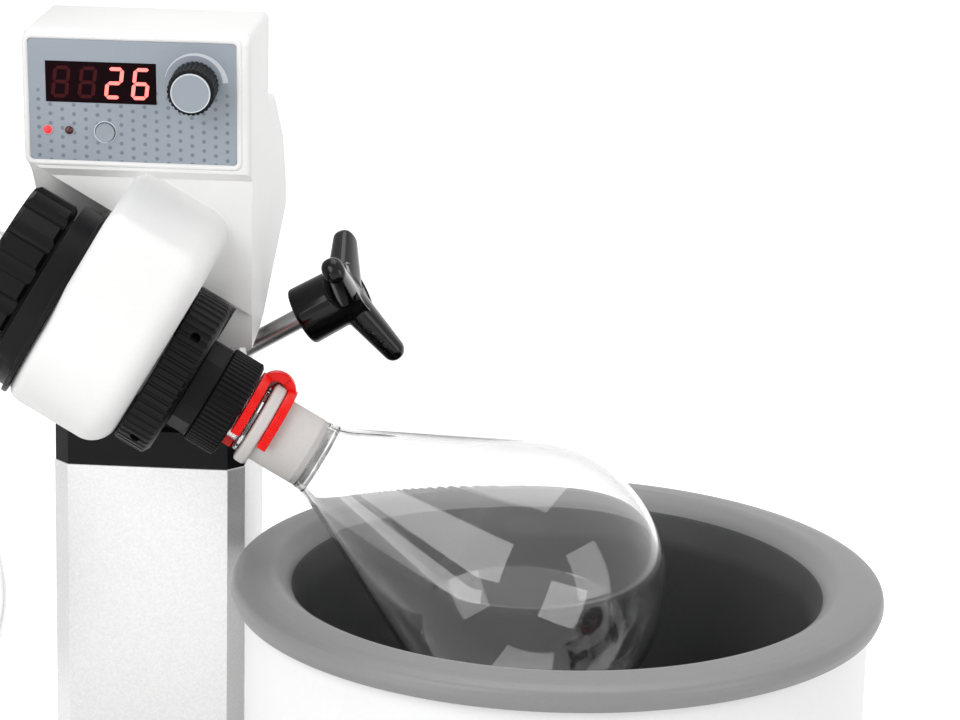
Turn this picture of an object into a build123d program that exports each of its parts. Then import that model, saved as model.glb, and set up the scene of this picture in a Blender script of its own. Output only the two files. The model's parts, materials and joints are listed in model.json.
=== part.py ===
from build123d import *
import os
from math import atan2, cos, degrees, hypot, pi, radians, sin, tan

# Benchtop rotary evaporator with a manual lift, a heating bath, an evaporating flask
# and a vertical glass condenser. Millimetres, +Z up, +X to the heating bath, +Y to the
# back. Shapes are drawn with X = 0 in the middle of the column, Y = 0 in the plane of
# the drive axis and Z = 0 on the table. They are saved with the origin on the table in
# the middle of the whole width.

# ---- base -------------------------------------------------------------------------
base_left = 108.0
base_right = 352.0
base_front = 158.0
base_back = 172.0
base_corner = 30.0
deck_z = 62.0
base_wall = 3.0
base_edge = 7.0
foot_height = 10.0
foot_radius = 16.0
foot_inset = 34.0
plate_thickness = 2.5

# ---- column and lift ----------------------------------------------------------------
column_width = 92.0
column_depth = 90.0
column_front = 39.0
column_top = 264.5
column_wall = 4.0
column_chamfer = 7.5
collar_top = 284.0
collar_plug = 10.0
collar_set_in = 0.5
collar_bevel = 2.0
mast_width = 60.0
mast_depth = 26.0
mast_wall = 4.0
mast_y = 110.0
mast_bottom = 88.0
mast_top = 414.0
bush_wall = 1.7
slide_gap = 0.3
bar_width = 10.0
bar_depth = 13.0
bar_x = 25.0
bar_y = 73.0
bar_over = 4.2
spring_x = -24.0
spring_y = 72.0
spring_radius = 9.0
spring_bore = 8.0
spring_top = 262.0
spring_rod_radius = 4.0
lift_down = 12.0
lift_up = 138.0

# ---- head ---------------------------------------------------------------------------
head_width = 104.0
head_bottom = 330.0
head_top = 479.0
head_front = 18.0
head_top_back = 84.0
head_back = 167.0
head_wall = 3.0
head_edge = 5.0
brow_z = 414.0
brow_out = 4.0
brow_lean = 6.0
panel_width = 95.0
panel_height = 57.0
panel_x = -2.0
panel_z = 446.5
panel_thickness = 1.6
face_step = 3.0
face_step_n = 37.0

# ---- drive --------------------------------------------------------------------------
drive_tilt = 30.0
joint_x = 58.5
joint_z = 300.0
housing_start = -107.5
housing_end = -56.0
housing_radius = 48.0
housing_top = 61.0
housing_rise = 12.5
housing_back = 36.0
housing_wall = 3.5
housing_edge = 13.0
housing_left_edge = 7.0
shaft_radius = 17.0
shaft_bore = 13.2
shaft_start = -118.0
shaft_end = -37.6
run_gap = 0.08
bearing_radius = 26.0
bearing_width = 9.0
pulley_radius = 28.0
pulley_width = 12.0
pulley_start = -95.0
motor_y = 12.0
motor_n = 50.0
motor_radius = 15.5
motor_length = 20.5
motor_pulley_radius = 7.0
belt_thickness = 2.0
flange_radius = 47.5
flange_start = -120.0
spigot_radius = 36.0
spigot_start = -136.0
union_radius = 42.0
union_start = -143.5
union_end = -122.0
ring_radius = 39.5
ring_start = -55.0
ring_end = -38.0
neck_radius = 22.5
neck_end = -27.5
nut_radius = 24.0
nut_end = -11.4
nut_thread_radius = 18.0

# ---- glass --------------------------------------------------------------------------
duct_radius = 12.8
duct_bore = 10.6
cone_wide = 14.6
cone_narrow = 13.1
cone_length = 29.0
bead_radius = 20.5
bead_half = 3.0
flask_neck = 16.75
flask_radius = 66.0
flask_centre = 144.5
flask_angle = 27.0
flask_wall = 2.2
clip_back = 3.2
clip_front = 6.4
condenser_x = -127.0
condenser_radius = 40.0
condenser_top = 792.0
glass_wall = 2.4
arm_radius = 16.0
ball_z = 308.0
ball_radius = 17.5
receiver_z = 208.0
receiver_radius = 65.7
coil_radius = 26.0
coil_tube = 4.5
coil_lead = 3.3
coil_turns = 16
coil_pitch = 16.0
coil_bottom = 452.0
stub_z = 748.0
stub_gap = 34.0
stub_radius = 4.0
stub_length = 22.0
stub_wall = 1.5
stub_collar = 10.0
stub_collar_radius = 9.0
key_radius = 4.5
key_gap = 0.2

# ---- locking handle -------------------------------------------------------------------
rod_angle = 30.5
rod_radius = 5.0
rod_x = 45.0
rod_z = 317.8
hub_start = 29.0
hub_radius = 14.0
hub_length = 32.0
arm_reach = 41.0
arm_low = 14.0
arm_thickness = 16.0
arm_width = 15.0
cap_radius = 12.0

# ---- bath ---------------------------------------------------------------------------
bath_x = 198.0
rim_z = 235.0
rim_radius = 152.0
rim_roll = 7.0
rim_sheet = 3.4
mouth_radius = 122.0
bowl_floor = 103.0
bowl_wall = 2.0
bath_radius = 145.0
bath_wall = 2.5
fascia_half = 62.0
fascia_out = 158.0
fascia_low = 74.0
fascia_high = 150.0

# ---- controls -----------------------------------------------------------------------
knob_radius = 10.9
knob_height = 15.0
button_radius = 4.4
button_travel = 1.5
lamp_radius = 2.0
depth_knob_radius = 34.0
depth_knob_z = 110.0
depth_knob_length = 20.0
stud_radius = 4.0

display_at = (-14.4, 8.6)
display_width = 50.6
display_height = 19.2
display_depth = 7.0
lamp_places = [(-39.2, -14.2), (-29.3, -14.2)]
button_at = (-12.8, -14.6)
knob_at = (28.6, 9.4)
knob_shaft_radius = 3.0
board_gap = 8.0
rocker_gap = 0.4
rocker_tip = 7.0
inlet_half = 13.5
base_inlet_x = -40.0
switch_opening = ((-58, -34), (-base_front - 1, -base_front + 4), (30, 44))
bath_knob_at = (bath_x + 34, -fascia_out, 112)
bath_display_box = ((bath_x - 48, bath_x - 4), (-fascia_out, -fascia_out + 3), (112, 132))
bath_switch_box = ((bath_x - 42, bath_x - 14), (-fascia_out - 1, -fascia_out + 4), (86, 100))

screw_radius = 2.0
screw_head = 3.6
screw_head_height = 2.4

# ---- places worked out from the sizes above --------------------------------------------
base_mid_x = (base_right - base_left) / 2
base_mid_y = (base_back - base_front) / 2
base_width = base_right + base_left
base_depth = base_back + base_front
plate_z = foot_height
cover_z = plate_z + plate_thickness
foot_places = [
    (x, y)
    for x in (-base_left + foot_inset, base_right - foot_inset)
    for y in (-base_front + foot_inset, base_back - foot_inset)
]
column_y = column_front + column_depth / 2
inner_half_x = column_width / 2 - column_wall
inner_back = column_front + column_depth - column_wall
chassis_front = mast_y - mast_depth / 2 - 4
chassis_top = 424.0
tab_left = -5.0
tab_low = 366.0
lock_block_low = collar_top + lift_down + 3
lock_block_high = 344.0
bar_top = rod_z + lift_up + bar_over
bar_face = (rod_x - bar_x - bar_width / 2) / cos(radians(rod_angle))
rod_tip = 0.6 - bar_face + rod_radius * tan(radians(rod_angle))
back_limit = housing_back - 0.1
arm_start = -(joint_x - condenser_x) / cos(radians(drive_tilt))

drive_plane = Plane(
    origin=(joint_x, 0, joint_z),
    x_dir=(cos(radians(drive_tilt)), 0, -sin(radians(drive_tilt))),
    z_dir=(sin(radians(drive_tilt)), 0, cos(radians(drive_tilt))),
)
panel_slope = atan2(brow_lean, head_top - brow_z)
panel_y = head_front - brow_out - brow_lean * (panel_z - brow_z) / (head_top - brow_z)
panel_plane = Plane(
    origin=(panel_x, panel_y, panel_z),
    x_dir=(1, 0, 0),
    z_dir=(0, -cos(panel_slope), -sin(panel_slope)),
)
rod_plane = Plane(
    origin=(rod_x, bar_y, rod_z),
    x_dir=(0, 1, 0),
    z_dir=(cos(radians(rod_angle)), 0, sin(radians(rod_angle))),
)
centred = (Align.CENTER, Align.CENTER, Align.MIN)


# ---- helpers ------------------------------------------------------------------------
def block(x_span, y_span, z_span):
    """Box between three (low, high) pairs."""
    spans = (x_span, y_span, z_span)
    size = [high - low for low, high in spans]
    middle = [(high + low) / 2 for low, high in spans]
    return Pos(*middle) * Box(*size)


def rod_between(radius, low, high):
    """Cylinder along Z from low to high."""
    return Pos(0, 0, low) * Cylinder(radius, high - low, align=centred)


def upright(profile):
    """Solid turned about Z from (radius, z) corners."""
    face = Plane.XZ * make_face(Polyline(*profile, close=True))
    return revolve(face, Axis.Z)


def along_drive(profile):
    """Solid turned about the drive axis from (distance along it, radius) corners."""
    face = make_face(Polyline(*profile, close=True))
    return drive_plane.location * revolve(face, Axis.X)


def drive_tube(outer, inner, start, end):
    """Plain ring or tube on the drive axis."""
    return along_drive([(start, inner), (end, inner), (end, outer), (start, outer)])


def drive_block(outline, start, end):
    """Prism along the drive axis from a sketch drawn in (across, up)."""
    side = Plane(origin=(start, 0, 0), x_dir=(0, 1, 0), z_dir=(1, 0, 0))
    return drive_plane.location * extrude(side * outline, end - start)


def round_drive(tool, start, radius, count):
    """Copies of a tool, drawn along +Z, set round the drive axis from start onwards."""
    place = drive_plane.location * Pos(start, 0, 0) * Rot(0, 90, 0)
    return [place * spot * tool for spot in PolarLocations(radius, count)]


def chamfered_outline(width, depth, cut):
    """Rectangle with its four corners cut at 45 degrees."""
    return chamfer(Rectangle(width, depth).vertices(), cut)


def fluted(radius, length, count, groove):
    """Cylinder along Z with round grooves down its side."""
    body = Cylinder(radius, length, align=centred)
    tool = Cylinder(groove, length, align=centred)
    return body - PolarLocations(radius + 0.35 * groove, count) * tool


def screws(places, length):
    """Pan-head screws, one for each location, heads at the location and shanks along -Z."""
    one = Cylinder(screw_head, screw_head_height, align=centred)
    one += Pos(0, 0, -length) * Cylinder(screw_radius, length, align=centred)
    one -= Pos(0, 0, screw_head_height - 1.2) * Cylinder(1.5, 1.2, align=centred)
    return Compound(children=[place * one for place in places])


def save(name, shape):
    """Write one sub-part, keeping separate solids separate."""
    solids = shape.solids()
    whole = solids[0] if len(solids) == 1 else Compound(children=list(solids))
    whole.label = name
    export_step(whole, f"parts/{name}.step")


# ---- base ---------------------------------------------------------------------------
def base_outline(inset):
    """Rounded plan of the base, drawn in by an inset."""
    shape = RectangleRounded(base_width - 2 * inset, base_depth - 2 * inset, base_corner - inset)
    return Pos(base_mid_x, base_mid_y) * shape


def make_base_cover():
    """Moulded housing of the base, open underneath."""
    outer = Pos(0, 0, cover_z) * extrude(base_outline(0), deck_z - cover_z)
    outer = fillet(outer.edges().group_by(Axis.Z)[-1], base_edge)
    inner = Pos(0, 0, cover_z) * extrude(base_outline(base_wall), deck_z - base_wall - cover_z)
    cover = outer - inner
    for x, y in foot_places:
        boss = Cylinder(6, deck_z - base_wall - cover_z, align=centred)
        pilot = Cylinder(screw_radius, 14, align=centred)
        cover += Pos(x, y, cover_z) * boss
        cover -= Pos(x, y, cover_z) * pilot
    cover -= Pos(0, column_y, cover_z) * extrude(column_outline(0), deck_z)
    (x_low, x_high), _, (z_low, z_high) = switch_opening
    cover += block((x_low - 2, x_high + 2), (-base_front, -base_front + 20), (z_low - 2, z_high + 2))
    cover -= block((x_low, x_high), (-base_front - 1, -base_front + 17), (z_low, z_high))
    cover -= block(*inlet_opening(base_inlet_x))
    return cover


def make_base_plate():
    """Steel plate that closes the base underneath."""
    plate = Pos(0, 0, plate_z) * extrude(base_outline(0), plate_thickness)
    for x, y in foot_places:
        plate -= Pos(x, y, plate_z) * Cylinder(screw_radius, plate_thickness, align=centred)
    return plate


def make_base_feet():
    """Rubber feet with a recess for the fixing screw."""
    foot = upright([
        (screw_radius, 4.5), (screw_head + 0.6, 4.5), (screw_head + 0.6, 0),
        (foot_radius - 2, 0), (foot_radius, 2), (foot_radius - 1.5, foot_height),
        (screw_radius, foot_height),
    ])
    return Compound(children=[Pos(x, y, 0) * foot for x, y in foot_places])


def make_base_screws():
    """Screws that hold the feet and the plate to the bosses of the cover."""
    places = [Location((x, y, 4.5), (180, 0, 0)) for x, y in foot_places]
    return screws(places, 18)


# ---- column -------------------------------------------------------------------------
def column_outline(inset):
    """Plan of the column with its cut corners, drawn in by an inset."""
    cut = column_chamfer - 0.586 * inset
    return chamfered_outline(column_width - 2 * inset, column_depth - 2 * inset, cut)


def make_column():
    """Hollow aluminium extrusion with cut corners, standing on the base plate."""
    section = column_outline(0) - column_outline(column_wall)
    tube = Pos(0, column_y, cover_z) * extrude(section, column_top - cover_z)
    stud_hole = Cylinder(stud_radius + run_gap, column_wall + 2)
    stud_at = Location((0, column_front + column_wall / 2, depth_knob_z), (90, 0, 0))
    return tube - stud_at * stud_hole


def collar_openings(bottom, top):
    """Ways through the collar for the bush, the brake bar and the spring rod."""
    half_x = mast_width / 2 + slide_gap + bush_wall
    half_y = mast_depth / 2 + slide_gap + bush_wall
    way = block((-half_x, half_x), (mast_y - half_y, mast_y + half_y), (bottom, top))
    way += block(
        (bar_x - bar_width / 2 - 0.4, bar_x + bar_width / 2 + 0.4),
        (bar_y - bar_depth / 2 - 0.4, bar_y + bar_depth / 2 + 0.4),
        (bottom, top),
    )
    way += Pos(spring_x, spring_y, 0) * rod_between(spring_rod_radius + 0.4, bottom, top)
    way += Pos(spring_x, spring_y, 0) * rod_between(spring_radius, bottom, spring_top)
    return way


def make_column_collar():
    """Black collar that caps the column and guides the mast."""
    height = collar_top - column_top
    cap = Pos(0, column_y, column_top) * extrude(column_outline(collar_set_in), height)
    cap = chamfer(cap.edges().group_by(Axis.Z)[-1], collar_bevel)
    plug = column_outline(column_wall + slide_gap / 2)
    cap += Pos(0, column_y, column_top - collar_plug) * extrude(plug, collar_plug)
    return cap - collar_openings(column_top - collar_plug, collar_top)


def make_mast_bush():
    """Plastic liner of the collar that the mast slides in."""
    half_x = mast_width / 2 + slide_gap
    half_y = mast_depth / 2 + slide_gap
    low = column_top - collar_plug
    high = collar_top - 0.5
    outer = block(
        (-half_x - bush_wall, half_x + bush_wall),
        (mast_y - half_y - bush_wall, mast_y + half_y + bush_wall),
        (low, high),
    )
    return outer - block((-half_x, half_x), (mast_y - half_y, mast_y + half_y), (low, high))


def make_brake_bar():
    """Steel bar that the locking handle clamps on, standing inside the column."""
    bar = block(
        (bar_x - bar_width / 2, bar_x + bar_width / 2),
        (bar_y - bar_depth / 2, bar_y + bar_depth / 2),
        (cover_z, bar_top),
    )
    return chamfer(bar.edges().group_by(Axis.Z)[-1], 1.5)


def make_gas_spring_body():
    """Pressure tube of the gas spring that balances the head."""
    tube = upright([
        (0, cover_z), (spring_radius, cover_z), (spring_radius, spring_top),
        (spring_rod_radius + run_gap, spring_top), (spring_rod_radius + run_gap, spring_top - 14),
        (spring_bore, spring_top - 14), (spring_bore, cover_z + 4), (0, cover_z + 4),
    ])
    return Pos(spring_x, spring_y, 0) * tube


# ---- lift ---------------------------------------------------------------------------
def make_mast():
    """Rectangular aluminium tube that carries the head up and down."""
    half_y = mast_depth / 2
    outer = block(
        (-mast_width / 2, mast_width / 2), (mast_y - half_y, mast_y + half_y),
        (mast_bottom, mast_top),
    )
    inner = block(
        (-mast_width / 2 + mast_wall, mast_width / 2 - mast_wall),
        (mast_y - half_y + mast_wall, mast_y + half_y - mast_wall),
        (mast_bottom, mast_top),
    )
    return outer - inner


def make_mast_shoe():
    """Slider on the lower end of the mast that runs on the inside of the column."""
    half_x = inner_half_x - slide_gap
    front = mast_y - mast_depth / 2 - 2.2
    shoe = block((-half_x, half_x), (front, inner_back - slide_gap), (mast_bottom - 6, mast_bottom))
    rear = shoe.edges().filter_by(Axis.Z).group_by(Axis.Y)[-1]
    return chamfer(rear, column_chamfer - 1.5)


def make_gas_spring_rod():
    """Piston and rod of the gas spring, fixed to the head."""
    rod = upright([
        (0, mast_bottom), (spring_bore - run_gap, mast_bottom),
        (spring_bore - run_gap, mast_bottom + 8), (spring_rod_radius, mast_bottom + 8),
        (spring_rod_radius, lock_block_high), (0, lock_block_high),
    ])
    return Pos(spring_x, spring_y, 0) * rod


def bar_slot(low, high):
    """Clear way for the brake bar through a moving piece."""
    return block(
        (bar_x - bar_width / 2 - 0.4, bar_x + bar_width / 2 + 0.4),
        (bar_y - bar_depth / 2 - 0.4, bar_y + bar_depth / 2 + 0.4),
        (low, high),
    )


def make_lock_block():
    """Cast block under the head that holds the clamp screw beside the brake bar."""
    body = block((-36, 44), (spring_y - 12, chassis_front), (lock_block_low, lock_block_high))
    body = fillet(body.edges().filter_by(Axis.Z).group_by(Axis.Y)[0], 4)
    body -= bar_slot(lock_block_low, lock_block_high)
    boss_bore = rod_plane.location * rod_between(rod_radius + run_gap, -20, 20)
    rod_hole = Cylinder(spring_rod_radius, lock_block_high, align=centred)
    body -= boss_bore
    return body - Pos(spring_x, spring_y, 0) * rod_hole


def make_head_chassis():
    """Folded plate that ties the mast, the lock block and the drive together."""
    plate = block((-40, 40), (chassis_front, mast_y - mast_depth / 2), (lock_block_low, chassis_top))
    shelf = block((tab_left, 40), (housing_back, chassis_front), (tab_low, tab_low + 4))
    tab = block((tab_left, 30), (housing_back, housing_back + 3), (tab_low, tab_low + 30))
    return plate + shelf + tab - bar_slot(lock_block_low, chassis_top)


# ---- head ---------------------------------------------------------------------------
def head_profile(inset):
    """Side outline of the head in (y, z), drawn in by an inset."""
    corners = [
        (head_front, head_bottom), (head_front, brow_z - brow_out),
        (head_front - brow_out, brow_z), (head_front - brow_out - brow_lean, head_top),
        (head_top_back, head_top), (head_top_back, 437), (113, 434), (150, 408),
        (head_back, 380), (head_back, 366), (122, 351), (84, 338), (50, 332),
    ]
    outline = make_face(Polyline(*corners, close=True))
    tight = [v for v in outline.vertices() if v.Y > brow_z + 1 and v.X < head_top_back + 1]
    outline = fillet(tight, head_edge)
    rear = [v for v in outline.vertices() if v.X > head_top_back + 8]
    outline = fillet(rear, 8)
    return offset(outline, -inset) if inset else outline


def head_body(inset, half):
    """Solid of the head, or of its hollow when drawn in."""
    side = Plane(origin=(-half, 0, 0), x_dir=(0, 1, 0), z_dir=(1, 0, 0))
    return extrude(side * head_profile(inset), 2 * half)


def low_face(grow):
    """What is taken from the front below the slanted step, grown by an amount."""
    depth = head_front + face_step + grow
    return drive_block(Pos(0, face_step_n + grow - 100) * Rectangle(2 * depth, 200), -260, 120)


def turning_room(grow):
    """Room for the flange on the left and the turning ring and nut on the right."""
    room = 1.5 + grow
    far = 260
    right = along_drive([
        (housing_end - 1 - grow, 0), (far, 0), (far, nut_radius + room),
        (ring_end + room, nut_radius + room), (ring_end + room, ring_radius + room),
        (housing_end - 1 - grow, ring_radius + room),
    ])
    return right + drive_tube(flange_radius + room, 0, -far, housing_start + grow)


def make_head():
    """The two shells of the head as one hollow body, before they are parted."""
    solid = head_body(0, head_width / 2)
    front_edges = solid.edges().filter_by(lambda e: e.center().Y < head_top_back + 1)
    long_edges = [
        e for e in front_edges
        if abs(abs(e.center().X) - head_width / 2) < 0.1 and e.center().Y < head_front + 0.1
        and e.center().Z > brow_z + 1
    ]
    solid = fillet(long_edges, 3.0)
    hollow = head_body(head_wall, head_width / 2 - head_wall)
    hollow -= low_face(head_wall)
    hollow -= turning_room(head_wall)
    shell = solid - hollow - low_face(0) - turning_room(0)
    shell -= housing_solid(0)
    shell -= block((-41, 46), (spring_y - 14, mast_y + 16), (300, 362))
    shell -= panel_plane.location * Pos(0, 0, -panel_thickness) * Box(
        panel_width, panel_height, 10, align=centred
    )
    shell -= panel_plane.location * Pos(0, 0, -8) * Box(88, 46, 8, align=centred)
    return shell


def part_head(shell, front):
    """One side of the seam of the head."""
    keep = (-60, head_top_back) if front else (head_top_back, 220)
    return shell & block((-80, 80), keep, (250, 520))


def make_control_panel():
    """Front plate of the controls with openings for display, lamps, button and knob."""
    plate = Box(panel_width, panel_height, panel_thickness, align=centred)
    plate = fillet(plate.edges().filter_by(Axis.Z), 2.5)
    plate -= Pos(*display_at, 0) * Box(display_width, display_height, 4, align=centred)
    for x, y in lamp_places:
        plate -= Pos(x, y, 0) * Cylinder(lamp_radius, 4, align=centred)
    plate -= Pos(*button_at, 0) * Cylinder(button_radius + 0.3, 4, align=centred)
    plate -= Pos(*knob_at, 0) * Cylinder(knob_shaft_radius + 0.3, 4, align=centred)
    return panel_plane.location * Pos(0, 0, -panel_thickness) * plate


def make_display_module():
    """Four-digit display with its window flush with the panel."""
    body = Box(display_width, display_height, display_depth, align=centred)
    return panel_plane.location * Pos(*display_at, -display_depth) * body


def make_status_lamps():
    """Two indicator lamps with domed ends."""
    lamp = Pos(0, 0, -6) * Cylinder(lamp_radius, 6, align=centred)
    lamp += Sphere(lamp_radius, rotation=(0, 0, 0)) & block((-3, 3), (-3, 3), (-0.1, 0.9))
    return Compound(children=[
        panel_plane.location * Pos(x, y, 0) * lamp for x, y in lamp_places
    ])


def make_control_board():
    """Circuit board behind the panel with its encoder and button switch."""
    board = Pos(0, 0, -board_gap - 1.6) * Box(86, 44, 1.6, align=centred)
    encoder = Pos(*knob_at, -board_gap) * Box(12, 12, 6.4 - 0.3, align=centred)
    encoder -= Pos(*knob_at, -board_gap + 2) * Cylinder(knob_shaft_radius + run_gap, 8, align=centred)
    switch = Pos(*button_at, -board_gap) * Box(6, 6, 2.4, align=centred)
    lamp_base = Compound(children=[
        Pos(x, y, -board_gap) * Cylinder(lamp_radius, 2, align=centred) for x, y in lamp_places
    ])
    display_base = Pos(*display_at, -board_gap) * Box(40, 14, 1, align=centred)
    return panel_plane.location * (board + encoder + switch + lamp_base + display_base)


def make_speed_knob():
    """Ribbed speed knob with its spindle."""
    grip = Pos(0, 0, 0.4) * fluted(knob_radius, knob_height - 2.4, 24, 0.8)
    collar = Pos(0, 0, 0.4) * Cylinder(knob_radius + 0.6, 2, align=centred)
    nose = Pos(0, 0, knob_height - 2.2) * Cone(knob_radius - 0.9, 8.9, 2, align=centred)
    stem = Pos(0, 0, -5.4) * Cylinder(knob_shaft_radius, 6, align=centred)
    return panel_plane.location * Pos(*knob_at) * (grip + collar + nose + stem)


def make_speed_knob_cap():
    """Light grey disc on the end of the speed knob."""
    disc = Pos(0, 0, knob_height - 0.2) * Cylinder(8.9, 1.2, align=centred)
    disc = fillet(disc.edges().group_by(Axis.Z)[-1], 0.5)
    return panel_plane.location * Pos(*knob_at) * disc


def make_interval_button():
    """Round push button that stands a little proud of the panel."""
    cap = Pos(0, 0, -3.0) * Cylinder(button_radius, 4.6, align=centred)
    cap = fillet(cap.edges().group_by(Axis.Z)[-1], 0.5)
    stem = Pos(0, 0, -board_gap + 2.6 + button_travel) * Cylinder(1.5, 2, align=centred)
    return panel_plane.location * Pos(*button_at) * (cap + stem)


# ---- drive --------------------------------------------------------------------------
def housing_outline(inset):
    """Cross-section of the drive housing in (across, up)."""
    radius = housing_radius - inset
    front_top = (-radius, housing_top - inset)
    back = housing_back - inset
    back_top = (back, housing_top + housing_rise - inset)
    low_back = (back, -(radius ** 2 - back ** 2) ** 0.5)
    edges = ThreePointArc((-radius, 0), (0, -radius), low_back)
    edges += Polyline(low_back, back_top, front_top, (-radius, 0))
    return make_face(edges)


def housing_solid(inset):
    """Full volume of the drive housing, or of its hollow when drawn in."""
    body = drive_block(housing_outline(inset), housing_start + inset, housing_end - inset)
    if inset:
        return body
    local = drive_plane.to_local_coords
    right_end = [
        e for e in body.edges()
        if local(e.center()).X > housing_end - 0.1 and local(e.center()).Y < back_limit
    ]
    crest = [
        e for e in body.edges()
        if local(e.center()).Z > housing_top - 0.1 and local(e.center()).Y < -housing_radius + 0.1
        and local(e.center()).X < housing_end - 1
    ]
    body = fillet(right_end + crest, housing_edge)
    left_end = [
        e for e in body.edges()
        if local(e.center()).X < housing_start + 0.1 and local(e.center()).Z > housing_radius
        and local(e.center()).Y < back_limit
    ]
    return fillet(left_end, housing_left_edge)


def make_drive_housing():
    """Smooth white housing round the drive, open towards the head."""
    shell = housing_solid(0) - housing_solid(housing_wall)
    left = housing_start + housing_wall
    right = housing_end - housing_wall
    carrier = bearing_radius + 6
    shell += drive_tube(carrier, bearing_radius, left, left + bearing_width - 2)
    shell += drive_tube(carrier, bearing_radius, right - bearing_width, right)
    shell -= drive_tube(bearing_radius, 0, housing_start, left)
    return shell - drive_tube(bearing_radius - 3, 0, right, housing_end)


def make_rotor_bearings():
    """Two ball bearings of the hollow shaft, shown as closed rings."""
    left = housing_start + housing_wall - 2
    right = housing_end - housing_wall - bearing_width
    rings = [
        drive_tube(bearing_radius, shaft_radius + run_gap, start, start + bearing_width)
        for start in (left, right)
    ]
    return Compound(children=rings)


def make_hollow_shaft():
    """Hollow shaft that holds the glass vapour duct."""
    collar = shaft_radius + 2.5
    right_bearing = housing_end - housing_wall - bearing_width
    return along_drive([
        (shaft_start, shaft_bore), (shaft_end, shaft_bore), (shaft_end, shaft_radius),
        (right_bearing - 0.3, shaft_radius), (right_bearing - 0.3, collar),
        (right_bearing - 3, collar), (right_bearing - 3, shaft_radius), (shaft_start, shaft_radius),
    ])


def make_rotor_pulley():
    """Toothed pulley on the hollow shaft."""
    wheel = drive_tube(pulley_radius, shaft_radius, pulley_start, pulley_start + pulley_width)
    slot = Cylinder(1.0, pulley_width, align=centred)
    return wheel - round_drive(slot, pulley_start, pulley_radius + 0.3, 48)


def make_motor():
    """Flat brushless motor inside the upper part of the drive housing."""
    start = pulley_start + pulley_width + 3
    body = Cylinder(motor_radius, motor_length, align=centred)
    body = fillet(body.edges().filter_by(GeomType.CIRCLE), 1.5)
    body -= Cylinder(3.0 + run_gap, motor_length - 4, align=centred)
    place = drive_plane.location * Pos(start, motor_y, motor_n) * Rot(0, 90, 0)
    return place * body


def make_motor_shaft():
    """Motor spindle with its toothed pulley."""
    length = pulley_width + 3 + motor_length - 6
    spindle = Cylinder(3.0, length, align=centred)
    wheel = fluted(motor_pulley_radius, pulley_width, 12, 1.0)
    place = drive_plane.location * Pos(pulley_start, motor_y, motor_n) * Rot(0, 90, 0)
    return place * (spindle + wheel)


def belt_loop(grow):
    """Outline of the belt round both pulleys, drawn outwards by an amount."""
    big = pulley_radius + grow
    small = motor_pulley_radius + grow
    across = motor_y
    up = motor_n
    span = hypot(across, up)
    lean = atan2(up, across)
    spread = (pi / 2) - atan2((big - small), (span ** 2 - (big - small) ** 2) ** 0.5)
    first = lean + spread
    second = lean - spread
    big_a = (big * cos(first), big * sin(first))
    big_b = (big * cos(second), big * sin(second))
    small_a = (across + small * cos(first), up + small * sin(first))
    small_b = (across + small * cos(second), up + small * sin(second))
    far_big = (-big * cos(lean), -big * sin(lean))
    far_small = (across + small * cos(lean), up + small * sin(lean))
    edges = ThreePointArc(big_a, far_big, big_b)
    edges += Line(big_b, small_b)
    edges += ThreePointArc(small_b, far_small, small_a)
    edges += Line(small_a, big_a)
    return make_face(edges)


def make_drive_belt():
    """Toothed belt between motor and rotor, clear of both by a small gap."""
    loop = belt_loop(slide_gap + belt_thickness) - belt_loop(slide_gap)
    return drive_block(loop, pulley_start + 1.5, pulley_start + pulley_width - 1.5)


def make_drive_flange():
    """Black end flange of the drive with the threaded spigot of the condenser."""
    return along_drive([
        (spigot_start, 27), (flange_start - 5, 27), (flange_start - 5, 20), (housing_start, 20),
        (housing_start, flange_radius), (housing_start - 2.5, flange_radius),
        (housing_start - 2.5, flange_radius - 2.5), (flange_start, flange_radius - 2.5),
        (flange_start, spigot_radius), (spigot_start, spigot_radius),
    ])


def make_shaft_seal():
    """PTFE lip seal between the vapour duct and the condenser flange."""
    return along_drive([
        (spigot_start + 1.5, duct_radius + run_gap + 0.8), (flange_start - 9, duct_radius + run_gap),
        (flange_start - 5, duct_radius + run_gap), (flange_start - 5, 26.8),
        (spigot_start + 1.5, 26.8),
    ])


def make_union_nut():
    """Large lobed union nut that clamps the condenser to the drive."""
    bore = spigot_radius + run_gap
    body = along_drive([
        (union_start, 20), (union_start + 4, 20), (union_start + 4, bore), (union_end, bore),
        (union_end, union_radius - 1.5), (union_end - 1.5, union_radius),
        (union_start + 2, union_radius), (union_start, union_radius - 2),
    ])
    groove = Cylinder(5.2, union_end - union_start + 2, align=centred)
    body -= round_drive(groove, union_start - 1, union_radius + 2.9, 16)
    middle = (union_start + union_end) / 2 - 1
    hole = Cylinder(2.6, 6, align=centred)
    holes = [
        Rot(angle, 0, 0) * Pos(middle, 0, union_radius - 4) * hole for angle in range(0, 360, 90)
    ]
    for one in holes:
        body -= drive_plane.location * one
    return body


def make_locking_ring():
    """Large ribbed ring that locks the vapour duct in the hollow shaft."""
    bore = shaft_radius + run_gap
    body = along_drive([
        (ring_start, bore), (ring_end, bore), (ring_end, ring_radius - 3.5),
        (ring_end - 1.5, ring_radius - 1), (ring_end - 2.5, ring_radius),
        (ring_start + 1, ring_radius), (ring_start, ring_radius - 1),
    ])
    groove = Cylinder(1.1, ring_end - ring_start + 2, align=centred)
    body -= round_drive(groove, ring_start - 1, ring_radius + 0.2, 54)
    hole = Cylinder(2.4, 6, align=centred)
    middle = (ring_start + ring_end) / 2
    for angle in range(45, 360, 90):
        body -= drive_plane.location * Rot(angle, 0, 0) * Pos(middle, 0, ring_radius - 4) * hole
    return body


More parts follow.
